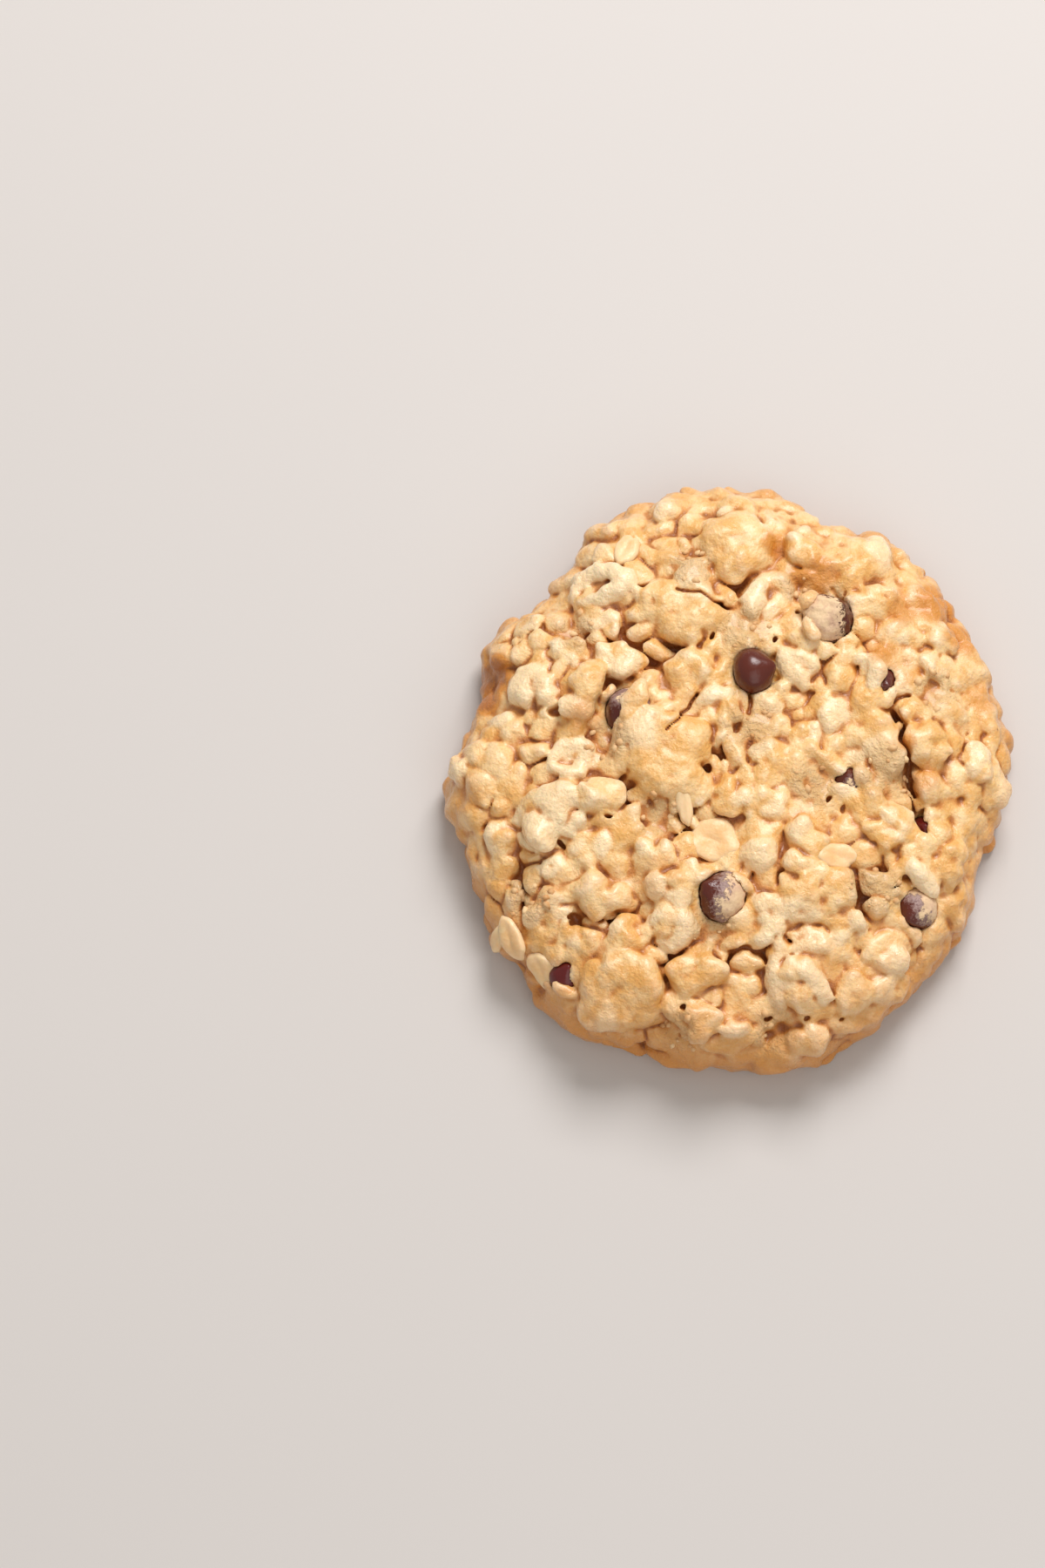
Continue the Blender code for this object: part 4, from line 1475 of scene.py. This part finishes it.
@dataclass
class BareOats:
    """Rolled oat flakes that show bare, pressed into the dough."""

    sculpt: DoughSculpt
    seed: int = 5
    rings: int = 9
    sides: int = 36
    thickness: float = 1.5
    bed_blur: float = 1.5
    lift: float = 0.25
    notch: tuple[float, float] = (0.03, 0.14)
    notch_width: float = 0.2
    crease_depth: float = 0.22
    crease_width: float = 0.55
    curl: tuple[float, float] = (0.0, 0.5)
    cup: tuple[float, float] = (-0.5, 0.05)
    lean: float = 0.85

    def build(self) -> bpy.types.Object:
        """Makes all the flakes as one mesh.

        Returns:
            The object.
        """
        draw = random.Random(self.seed)
        base = self.sculpt.cells.blurred(np.clip(self.sculpt.values, -5, 5), self.bed_blur)
        points, faces, shades, rims, number = [], [], [], [], 0
        for frame, oat in self.sculpt.skin.laid(FLAT_OATS):
            flake, rim = self._flake(frame, oat, base, draw)
            points.append(flake)
            rims.append(rim)
            shades.append(np.full(len(flake), draw.uniform(-1, 1)))
            faces.append(self._faces() + number)
            number += len(flake)
        obj = mesh_object("bare_oats", np.concatenate(points) * MM, np.concatenate(faces))
        paint(obj, "shade", np.concatenate(shades))
        paint(obj, "rim", np.concatenate(rims))
        return obj

    def _flake(self, frame: Frame, oat: Oat, base: Array, draw: random.Random) -> tuple[Array, Array]:
        """One flake: an oval with an uneven edge, a crease and a curl, laid over the dough.

        Args:
            frame: Point, normal and sideways direction of the skin.
            oat: Size and heading of the flake.
            base: Smoothed field of the dough, which the flake follows.
            draw: Seeded draw.

        Returns:
            The flake's points in millimetres, and how near each is to the flake's edge.
        """
        lump = self.sculpt.lump_on(frame, oat, 1.0, 0.0, 1.0, draw)
        top = self.sculpt.surface_point(frame[0], lump.normal)
        inwards = np.linspace(1, 0, self.rings)[1:]
        share = np.concatenate([np.linspace(0, 1, self.rings) ** 0.8, inwards**0.8])
        above = np.concatenate([np.ones(self.rings), -np.ones(self.rings - 1)])
        above[self.rings - 1] = 0
        angle = math.tau * np.arange(self.sides) / self.sides
        uneven = 1 + sum(
            depth * np.sin(count * angle + draw.uniform(0, math.tau))
            for depth, count in ((0.05, 2), (0.004 * oat.width + 0.03, 3), (0.005 * oat.width, 5), (0.02, 8))
        )
        from_notch = (angle - draw.uniform(0, math.tau) + math.pi) % math.tau - math.pi
        uneven *= 1 - draw.uniform(*self.notch) * np.exp(-((from_notch / self.notch_width) ** 2))
        u = np.outer(share, np.cos(angle) * uneven) * oat.length / 2
        v = np.outer(share, np.sin(angle) * uneven) * oat.width / 2
        ring = np.repeat(share[:, None], self.sides, axis=1)
        half = self.thickness / 2 * np.sqrt(np.clip(1 - ring**6, 0, 1)) * above[:, None]
        from_crease = (v + 0.35 * np.sin(0.8 * u)) / self.crease_width
        crease = -self.crease_depth * np.exp(-(from_crease**2)) * np.clip(1.05 - ring, 0, 1)
        ripple = 0.035 * oat.width * np.sin(0.9 * v + draw.uniform(0, 6))
        ripple *= np.cos(0.8 * u + draw.uniform(0, 6))
        curled = np.maximum(0, np.cos(angle - draw.uniform(0, math.tau)))[None, :] ** 2
        curl = draw.uniform(*self.curl) * ring**3 * curled
        cup = draw.uniform(*self.cup) * ring**2
        rise = half + crease + np.where(above[:, None] >= 0, ripple, 0) + curl + cup
        rise = rise + self.lift + 0.04 * oat.length
        flat = (top + u[..., None] * lump.along + v[..., None] * lump.across).reshape(-1, 3)
        sunk = self.sculpt.cells.sample(base, flat) - self.sculpt.cells.sample(base, top[None, :])
        places = flat + (rise.reshape(-1) - self.lean * np.clip(sunk, -1.8, 1.8))[:, None] * lump.normal
        places[:, 2] = np.maximum(places[:, 2], 0.1)
        return places, (ring**4).reshape(-1)

    def _faces(self) -> Array:
        """Faces of one flake, ring by ring from the middle of its top to the middle of its foot."""
        return np.roll(ring_faces(2 * self.rings - 1, self.sides)[:, ::-1], 1, axis=1)


@dataclass
class Crumbs:
    """Loose crumbs and grains of dough that lie in the hollows of the crown."""

    sculpt: DoughSculpt
    seed: int = 17
    count: int = 100
    size: tuple[float, float] = (0.45, 1.05)

    def build(self) -> bpy.types.Object:
        """Makes all the crumbs as one mesh.

        Returns:
            The object.
        """
        draw = random.Random(self.seed)
        points, faces = [], []
        ball_points, ball_faces = self._ball()
        for number in range(self.count):
            middle_x, middle_y, reach = draw.choice(MEALY_PATCHES)
            angle, out = draw.uniform(0, math.tau), reach * math.sqrt(draw.random())
            x, y = middle_x + out * math.cos(angle), middle_y + out * math.sin(angle)
            point, normal, _ = self.sculpt.skin.frame_over(x, y)
            top = self.sculpt.surface_point(point + normal, normal)
            size = draw.uniform(*self.size)
            bend = np.random.default_rng(self.seed * 1000 + number).uniform(0.72, 1.25, len(ball_points))
            turn = draw.uniform(0, math.tau)
            spin = np.array(Matrix.Rotation(turn, 3, Vector([draw.gauss(0, 1) for _ in range(3)])))
            shape = ball_points * bend[:, None] * [1.0, draw.uniform(0.6, 1.0), draw.uniform(0.5, 0.8)]
            points.append(shape @ spin.T * size + top - normal * size * 0.15)
            faces.append(ball_faces + number * len(ball_points))
        return mesh_object("crumbs", np.concatenate(points) * MM, np.concatenate(faces))

    @staticmethod
    def _ball() -> tuple[Array, Array]:
        """A small even ball, to be bent out of shape.

        Returns:
            Its points and its three-sided faces.
        """
        golden = (1 + math.sqrt(5)) / 2
        corners = []
        for a in (-1, 1):
            for b in (-golden, golden):
                corners += [(0, a, b), (a, b, 0), (b, 0, a)]
        points = np.array(corners, float)
        points /= np.linalg.norm(points[0])
        gaps = np.linalg.norm(points[:, None] - points[None], axis=-1)
        near = (gaps > 0.1) & (gaps < 1.2)
        faces = []
        for i in range(12):
            for j in range(i + 1, 12):
                for k in range(j + 1, 12):
                    if near[i, j] and near[j, k] and near[i, k]:
                        turned = np.cross(points[j] - points[i], points[k] - points[i]) @ points[i] > 0
                        faces.append((i, j, k) if turned else (i, k, j))
        return points, np.array(faces)


@dataclass
class ChocolateChips:
    """The chips that show, each a turned drop with a soft tip."""

    skin: Skin
    rings: int = 22
    sides: int = 56
    film_lumps: float = 0.055

    def build(self) -> list[tuple[bpy.types.Object, str, ChipCoat]]:
        """Makes one mesh for each chip."""
        return [(self._drop(name, chip), name, chip.coat) for name, chip in CHIPS.items()]

    def _drop(self, name: str, chip: Chip) -> bpy.types.Object:
        """The mesh of one chip, slightly dented so that it isn't perfectly round.

        Args:
            name: Name of the chip's node.
            chip: The chip.

        Returns:
            The object.
        """
        body = ChipBody(chip, self.skin)
        radius, level = body.outline(self.rings)
        angle = math.tau * np.arange(self.sides) / self.sides
        turn = len(name) * 1.3 + chip.x
        dent = 1 + 0.025 * np.sin(2 * angle + turn) + 0.018 * np.sin(3 * angle + 2 * turn)
        u = np.outer(radius, np.cos(angle) * dent)
        v = np.outer(radius, np.sin(angle) * dent)
        w = np.repeat(level[:, None], self.sides, axis=1)
        w = w + 0.09 * np.sin(1.1 * u + turn) * np.cos(1.3 * v)
        local = np.stack([u, v, w], axis=-1).reshape(-1, 3)
        lumpy = np.sin(1.9 * local[:, 0] + turn) * np.cos(2.3 * local[:, 1])
        lumpy += 0.7 * np.sin(3.1 * local[:, 1] + 2.7 * local[:, 2])
        local *= 1 + (self.film_lumps * chip.coat.value[1] * lumpy)[:, None]
        places = body.middle + local @ body.axes
        obj = mesh_object(f"{name}_chocolate", places * MM, ring_faces(len(level), self.sides))
        heading = math.radians(chip.coat_heading)
        side = (places - body.middle) @ np.array([math.cos(heading), math.sin(heading), 0.35])
        paint(obj, "coat", np.clip(side / 3.6, -1, 1))
        return obj


class Nodes:
    """A small maker of shader nodes in one node tree."""

    def __init__(self, tree: bpy.types.NodeTree) -> None:
        """Works in that tree."""
        self.tree = tree

    def add(self, kind: str, values: dict | None = None, **settings: object) -> bpy.types.Node:
        """Adds a node.

        Args:
            kind: The node's type, without the leading words ShaderNode.
            values: Socket names or numbers, with a value or an output to link to each.
            settings: Properties of the node.

        Returns:
            The node.
        """
        node = self.tree.nodes.new(f"ShaderNode{kind}")
        for key, value in settings.items():
            setattr(node, key, value)
        for key, value in (values or {}).items():
            self.give(node.inputs[key], value)
        return node

    def give(self, socket: Socket, value: object) -> None:
        """Links an output to a socket, or sets a number, direction or colour there.

        Args:
            socket: The socket.
            value: The output, number, direction or colour.
        """
        if isinstance(value, Socket):
            self.tree.links.new(value, socket)
        else:
            socket.default_value = (*value, 1) if socket.type == "RGBA" else value

    def join(self, shader: bpy.types.Node, **values: object) -> None:
        """Gives the shader's sockets their outputs and values.

        Args:
            shader: The shader.
            values: An output or a value for each socket, named with underscores for spaces.
        """
        for name, value in values.items():
            self.give(shader.inputs[name.replace("_", " ")], value)

    def attribute(self, name: str) -> Socket:
        """A number kept at each point of the mesh."""
        return self.add("Attribute", attribute_name=name).outputs["Fac"]

    def math(self, operation: str, a: object, b: object) -> Socket:
        """The result of a sum on two values."""
        return self.add("Math", {0: a, 1: b}, operation=operation).outputs[0]

    def plus(self, a: object, b: object) -> Socket:
        """Two values added."""
        return self.math("ADD", a, b)

    def minus(self, a: object, b: object) -> Socket:
        """The first value less the second."""
        return self.math("SUBTRACT", a, b)

    def times(self, a: object, b: object) -> Socket:
        """Two values multiplied."""
        return self.math("MULTIPLY", a, b)

    def larger(self, a: object, b: object) -> Socket:
        """The larger of two values."""
        return self.math("MAXIMUM", a, b)

    def ramp(self, value: object, low: float, high: float, start: float = 0.0, end: float = 1.0) -> Socket:
        """Brings a value from one range to another, smoothly at both ends.

        Args:
            value: The value.
            low: Where the first range starts.
            high: Where it ends.
            start: What the result is at the first range's start.
            end: What it is at the first range's end.

        Returns:
            The result.
        """
        values = {0: value, 1: low, 2: high, 3: start, 4: end}
        return self.add("MapRange", values, interpolation_type="SMOOTHSTEP").outputs[0]

    def mix(self, share: object, first: object, second: object) -> Socket:
        """A colour between two colours."""
        return self.add("Mix", {0: share, 6: first, 7: second}, data_type="RGBA").outputs[2]

    def noise(self, vector: object, scale: float, detail: float, roughness: float) -> Socket:
        """Noise over the object, as a number around a half."""
        values = {"Vector": vector, "Scale": scale, "Detail": detail, "Roughness": roughness}
        return self.add("TexNoise", values).outputs[0]


class MealyGrain:
    """Shared effect: the mealy grain of baked oat dough, as a mask and a height."""

    name = "mealy grain"

    @classmethod
    def group(cls) -> bpy.types.NodeTree:
        """The node group, made once.

        Returns:
            The group's tree.
        """
        known = bpy.data.node_groups.get(cls.name)
        if known:
            return known
        tree = bpy.data.node_groups.new(cls.name, "ShaderNodeTree")
        sockets = (("Size", "INPUT"), ("Grain", "OUTPUT"), ("Mottle", "OUTPUT"), ("Height", "OUTPUT"))
        for socket, way in sockets:
            tree.interface.new_socket(socket, in_out=way, socket_type="NodeSocketFloat")
        tree.interface.items_tree["Size"].default_value = 1.0
        nodes = Nodes(tree)
        given = tree.nodes.new("NodeGroupInput")
        result = tree.nodes.new("NodeGroupOutput")
        place = nodes.add("TexCoord").outputs["Object"]
        values = {0: place, "Scale": given.outputs["Size"]}
        scaled = nodes.add("VectorMath", values, operation="SCALE").outputs[0]
        grain = nodes.noise(scaled, 2600, 3.0, 0.6)
        mottle = nodes.noise(scaled, 330, 4.0, 0.6)
        cells = nodes.add("TexVoronoi", {"Vector": scaled, "Scale": 1500.0}, feature="SMOOTH_F1").outputs[0]
        lumpy = nodes.noise(scaled, 850, 3.0, 0.55)
        height = nodes.plus(nodes.times(grain, 0.6), nodes.times(cells, 0.5))
        height = nodes.plus(height, nodes.times(lumpy, 1.6))
        tree.links.new(nodes.ramp(grain, 0.3, 0.7), result.inputs["Grain"])
        tree.links.new(mottle, result.inputs["Mottle"])
        tree.links.new(height, result.inputs["Height"])
        return tree

    @classmethod
    def place(cls, nodes: Nodes, size: float = 1.0) -> bpy.types.Node:
        """Puts the group into a material's tree, with the size of its grain."""
        return nodes.add("Group", {"Size": size}, node_tree=cls.group())


def new_material(name: str) -> tuple[bpy.types.Material, Nodes, bpy.types.Node]:
    """A material with its Principled shader.

    Args:
        name: Name of the material.

    Returns:
        The material, a maker of nodes in it, and its shader.
    """
    material = bpy.data.materials.new(name)
    material.use_nodes = True
    return material, Nodes(material.node_tree), material.node_tree.nodes["Principled BSDF"]


@dataclass(frozen=True)
class BakedDoughFinish:
    """Baked oat dough: pale cream on its knobs as a painted highlight, orange-brown and dark brown in its
    creases and hollows as painted shade, golden down the flank, and browner towards the front as painted
    shade.
    """

    # Painted highlight: cream laid on the knobs
    cream: Colour = from_srgb(253, 237, 216)
    pale: Colour = from_srgb(244, 207, 150)
    bare_oat: Colour = from_srgb(251, 228, 188)
    golden: Colour = from_srgb(231, 176, 100)
    mealy: Colour = from_srgb(218, 180, 128)
    # Real browning, and painted shade on the front side
    browned_and_front_shade: Colour = from_srgb(212, 142, 62)
    # Painted shade: orange-brown in the creases
    shade_amber: Colour = from_srgb(206, 126, 40)
    # Painted shade: dark brown in deep creases and hollows
    crease: Colour = from_srgb(140, 68, 12)
    under: Colour = from_srgb(178, 110, 50)
    roughness: float = 0.30
    mealy_roughness: float = 0.75
    bump: float = 0.66
    knob_highlight_share: float = 0.38
    bare_oat_share: float = 0.62
    mealy_share: float = 0.75
    shade_amber_share: float = 0.78
    crease_shade_share: float = 0.80
    speck_share: float = 0.10

    def make(self) -> bpy.types.Material:
        """Builds the material.

        Returns:
            The material.
        """
        material, nodes, shader = new_material("baked dough")
        grain = MealyGrain.place(nodes)
        tone = nodes.attribute("tone")
        crease = nodes.attribute("crease")
        hollow = nodes.attribute("hollow")
        mealy = nodes.attribute("mealy")
        mottle = nodes.ramp(grain.outputs["Mottle"], 0.32, 0.68)
        warmth = nodes.plus(mottle, nodes.times(tone, 0.45))
        colour = nodes.mix(nodes.ramp(warmth, -0.1, 1.15), self.pale, self.golden)
        # Painted highlight: the knobs are lightened towards cream
        knob_highlight = nodes.plus(nodes.attribute("knob_highlight"), nodes.times(tone, -0.25))
        colour = nodes.mix(nodes.times(nodes.ramp(knob_highlight, 0.10, 1.2), self.knob_highlight_share), colour, self.cream)
        bare = nodes.ramp(nodes.attribute("bare"), 0.25, 0.8)
        colour = nodes.mix(nodes.times(bare, self.bare_oat_share), colour, self.bare_oat)
        sunk = nodes.larger(nodes.times(nodes.ramp(hollow, 0.0, 0.7), 0.6), mealy)
        colour = nodes.mix(nodes.times(sunk, self.mealy_share), colour, self.mealy)
        # Real browning at the rim and in patches, with painted shade on the front side
        bake_and_front_shade = nodes.plus(nodes.attribute("bake_and_front_shade"), nodes.times(mottle, 0.12))
        colour = nodes.mix(nodes.ramp(bake_and_front_shade, 0.05, 1.0), colour, self.browned_and_front_shade)
        under = nodes.larger(nodes.attribute("under"), nodes.ramp(bake_and_front_shade, 1.0, 1.7))
        colour = nodes.mix(under, colour, self.under)
        # Painted shade: creases are darkened to orange-brown, and deep creases and hollows to dark brown
        shallow_crease_shade = nodes.ramp(crease, 0.08, 0.55)
        colour = nodes.mix(nodes.times(shallow_crease_shade, self.shade_amber_share), colour, self.shade_amber)
        deep = nodes.larger(nodes.ramp(crease, 0.32, 0.95), nodes.ramp(hollow, 0.42, 1.05))
        colour = nodes.mix(nodes.times(deep, self.crease_shade_share), colour, self.crease)
        speck = nodes.times(nodes.ramp(grain.outputs["Grain"], 0.55, 1.0), self.speck_share)
        colour = nodes.mix(speck, colour, self.browned_and_front_shade)
        rough = nodes.ramp(sunk, 0, 1, self.roughness, self.mealy_roughness)
        rough = nodes.minus(rough, nodes.times(bare, 0.08))
        strength = nodes.ramp(sunk, 0, 1, self.bump, 2.2 * self.bump)
        height = nodes.times(grain.outputs["Height"], strength)
        bump = nodes.add("Bump", {"Height": height, "Distance": 0.00035})
        nodes.join(shader, Base_Color=colour, Roughness=rough, Normal=bump.outputs[0])
        nodes.join(shader, Subsurface_Weight=0.22, Subsurface_Radius=(1.0, 0.62, 0.30))
        nodes.join(shader, Subsurface_Scale=0.0010, IOR=1.45)
        nodes.join(shader, Coat_Weight=0.46, Coat_Roughness=0.24)
        return material


@dataclass(frozen=True)
class BareOatFinish:
    """Dry rolled oat: cream with fine long fibres, paler at its edge."""

    cream: Colour = from_srgb(246, 212, 164)
    straw: Colour = from_srgb(236, 188, 128)
    edge: Colour = from_srgb(248, 222, 184)
    roughness: float = 0.32

    def make(self) -> bpy.types.Material:
        """Builds the material.

        Returns:
            The material.
        """
        material, nodes, shader = new_material("bare oat")
        grain = MealyGrain.place(nodes, 1.3)
        shade = nodes.attribute("shade")
        mottle = nodes.plus(grain.outputs["Mottle"], nodes.times(shade, 0.22))
        colour = nodes.mix(nodes.ramp(mottle, 0.2, 0.85), self.cream, self.straw)
        colour = nodes.mix(nodes.times(nodes.attribute("rim"), 0.6), colour, self.edge)
        bump = nodes.add("Bump", {"Height": grain.outputs["Height"], "Strength": 0.35, "Distance": 0.0002})
        rough = nodes.ramp(grain.outputs["Grain"], 0, 1, self.roughness, self.roughness + 0.15)
        nodes.join(shader, Base_Color=colour, Roughness=rough, Normal=bump.outputs[0])
        nodes.join(shader, Subsurface_Weight=0.30, Subsurface_Radius=(1.0, 0.7, 0.4))
        nodes.join(shader, Subsurface_Scale=0.0012)
        return material


@dataclass(frozen=True)
class CrumbFinish:
    """Loose crumbs of the same dough, a little drier."""

    light: Colour = from_srgb(240, 204, 154)
    dark: Colour = from_srgb(205, 150, 92)

    def make(self) -> bpy.types.Material:
        """Builds the material.

        Returns:
            The material.
        """
        material, nodes, shader = new_material("crumb")
        grain = MealyGrain.place(nodes)
        colour = nodes.mix(nodes.ramp(grain.outputs["Mottle"], 0.3, 0.7), self.light, self.dark)
        bump = nodes.add("Bump", {"Height": grain.outputs["Height"], "Strength": 0.4, "Distance": 0.0002})
        nodes.join(shader, Base_Color=colour, Roughness=0.7, Normal=bump.outputs[0])
        return material


@dataclass(frozen=True)
class ChocolateFinish:
    """Milk chocolate that was baked: gloss, with grey frost and a film of dough on some chips."""

    coat: ChipCoat
    chocolate: Colour = from_srgb(90, 34, 21)
    warm: Colour = from_srgb(94, 20, 18)
    frost: Colour = from_srgb(182, 154, 146)
    film: Colour = from_srgb(232, 200, 158)
    thin_film: Colour = from_srgb(206, 166, 138)

    def make(self) -> bpy.types.Material:
        """Builds the material.

        Returns:
            The material.
        """
        frosted, filmed = self.coat.value
        material, nodes, shader = new_material(f"chocolate {self.coat.name.lower()}")
        grain = MealyGrain.place(nodes, 0.9)
        place = nodes.add("TexCoord").outputs["Object"]
        side = nodes.times(nodes.attribute("coat"), 0.55)
        patches = nodes.minus(nodes.noise(place, 260, 4.0, 0.65), 0.5)
        specks = nodes.minus(nodes.noise(place, 1700, 3.0, 0.7), 0.5)
        frost = nodes.plus(nodes.plus(patches, nodes.times(specks, 0.8)), side)
        start = 0.72 - 0.9 * frosted
        frost = nodes.ramp(frost, start - 0.15, start + 0.20)
        bare = self.warm if self.coat is ChipCoat.WARM else self.chocolate
        colour = nodes.mix(nodes.times(frost, min(1.0, frosted + 0.1)), bare, self.frost)
        start = 0.9 - 1.50 * filmed
        ragged = nodes.plus(patches, nodes.times(specks, 0.5))
        cover = nodes.plus(nodes.times(ragged, 1.7), side)
        film = nodes.mix(nodes.ramp(ragged, -0.20, 0.16), self.thin_film, self.film)
        cover = nodes.ramp(cover, start - 0.07, start + 0.07)
        colour = nodes.mix(cover, colour, film)
        rough = nodes.plus(nodes.times(nodes.larger(cover, frost), 0.42), 0.24)
        rugged = nodes.times(grain.outputs["Height"], 0.25 + 0.4 * filmed)
        height = nodes.plus(nodes.times(cover, 1.2), rugged)
        bump = nodes.add("Bump", {"Height": height, "Strength": 0.4 + 0.6 * filmed, "Distance": 0.0004})
        nodes.join(shader, Base_Color=colour, Roughness=rough, Normal=bump.outputs[0])
        return material


@dataclass(frozen=True)
class FloorFinish:
    """Plain pale floor."""

    colour: Colour = from_srgb(206, 201, 197)

    def make(self) -> bpy.types.Material:
        """Builds the material.

        Returns:
            The material.
        """
        material, nodes, shader = new_material("plain floor")
        place = nodes.add("TexCoord").outputs["Object"]
        soft = nodes.noise(place, 6, 2.0, 0.5)
        darker = tuple(0.97 * channel for channel in self.colour)
        nodes.join(shader, Base_Color=nodes.mix(soft, self.colour, darker), Roughness=0.62)
        return material


class Lamp(NamedTuple):
    """A soft square light: its place and width in metres, its power in watts and its colour."""

    name: str
    place: Place
    width: float
    power: float
    colour: Colour


@dataclass
class Studio:
    """Floor, soft light and camera."""

    lamps: tuple[Lamp, ...] = (
        Lamp("key", (0.22, 0.72, 0.88), 0.55, 12.2, (1.0, 0.98, 0.98)),
        Lamp("fill", (0.25, -0.6, 0.8), 0.9, 2.4, (1.0, 0.985, 0.96)),
    )
    room_colour: Colour = (1.0, 0.968, 0.93)
    room_strength: float = 0.43
    elevation: float = 76.0
    lens: float = 160.0
    sensor: float = 36.0
    frame_height: float = 0.270
    picture_height: int = 1800
    picture_middle: tuple[float, float] = (600.0, 900.0)
    origin_pixel: tuple[float, float] = (835.0, 908.0)
    crown: float = 0.017
    floor_size: float = 3.0

    def build(self) -> None:
        """Sets out everything that isn't the cookie."""
        self._floor()
        self._camera()
        for lamp in self.lamps:
            self._light(lamp)
        world = bpy.data.worlds.new("soft room")
        bpy.context.scene.world = world
        world.use_nodes = True
        background = world.node_tree.nodes["Background"]
        background.inputs["Color"].default_value = (*self.room_colour, 1)
        background.inputs["Strength"].default_value = self.room_strength
        bpy.context.scene.view_settings.view_transform = "Standard"

    def _floor(self) -> None:
        """The floor that the cookie lies on."""
        half = self.floor_size / 2
        points = np.array([(-half, -half, 0), (half, -half, 0), (half, half, 0), (-half, half, 0)])
        floor = mesh_object("floor", points, np.array([[0, 1, 2, 3]]))
        floor.data.materials.append(FloorFinish().make())

    def _camera(self) -> None:
        """The camera, where the photo was taken from."""
        rise = math.radians(self.elevation)
        scale = self.frame_height / self.picture_height
        x = (self.picture_middle[0] - self.origin_pixel[0]) * scale
        up = (self.origin_pixel[1] - self.picture_middle[1]) * scale
        y = (up - math.cos(rise) * self.crown) / math.sin(rise)
        distance = self.lens * self.frame_height / self.sensor
        target = Vector((x, y, self.crown))
        camera = bpy.data.objects.new("camera", bpy.data.cameras.new("camera"))
        camera.data.lens = self.lens
        camera.data.sensor_width = self.sensor
        camera.location = target + distance * Vector((0, -math.cos(rise), math.sin(rise)))
        camera.rotation_euler = (math.radians(90 - self.elevation), 0, 0)
        bpy.context.scene.collection.objects.link(camera)
        bpy.context.scene.camera = camera

    @staticmethod
    def _light(lamp: Lamp) -> None:
        """Sets up a soft light aimed at the cookie.

        Args:
            lamp: The light.
        """
        data = bpy.data.lights.new(lamp.name, "AREA")
        data.energy = lamp.power
        data.size = lamp.width
        data.color = lamp.colour
        obj = bpy.data.objects.new(lamp.name, data)
        obj.location = lamp.place
        obj.rotation_euler = (-Vector(lamp.place)).to_track_quat("-Z", "Y").to_euler()
        bpy.context.scene.collection.objects.link(obj)


def main() -> None:
    """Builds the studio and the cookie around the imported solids."""
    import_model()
    Studio().build()
    skin = Skin()
    sculpt = DoughSculpt(skin)
    sculpt.work()
    dough = CookieDough(sculpt).build()
    dough.data.materials.append(BakedDoughFinish().make())
    settle(dough, ["cookie"])
    oats = BareOats(sculpt).build()
    oats.data.materials.append(BareOatFinish().make())
    settle(oats)
    crumbs = Crumbs(sculpt).build()
    crumbs.data.materials.append(CrumbFinish().make())
    settle(crumbs)
    finishes = {coat: ChocolateFinish(coat).make() for coat in ChipCoat}
    for chip, node, coat in ChocolateChips(skin).build():
        chip.data.materials.append(finishes[coat])
        settle(chip, [node])


if __name__ == "__main__":
    logging.basicConfig(level=logging.INFO, format="%(message)s")
    main()
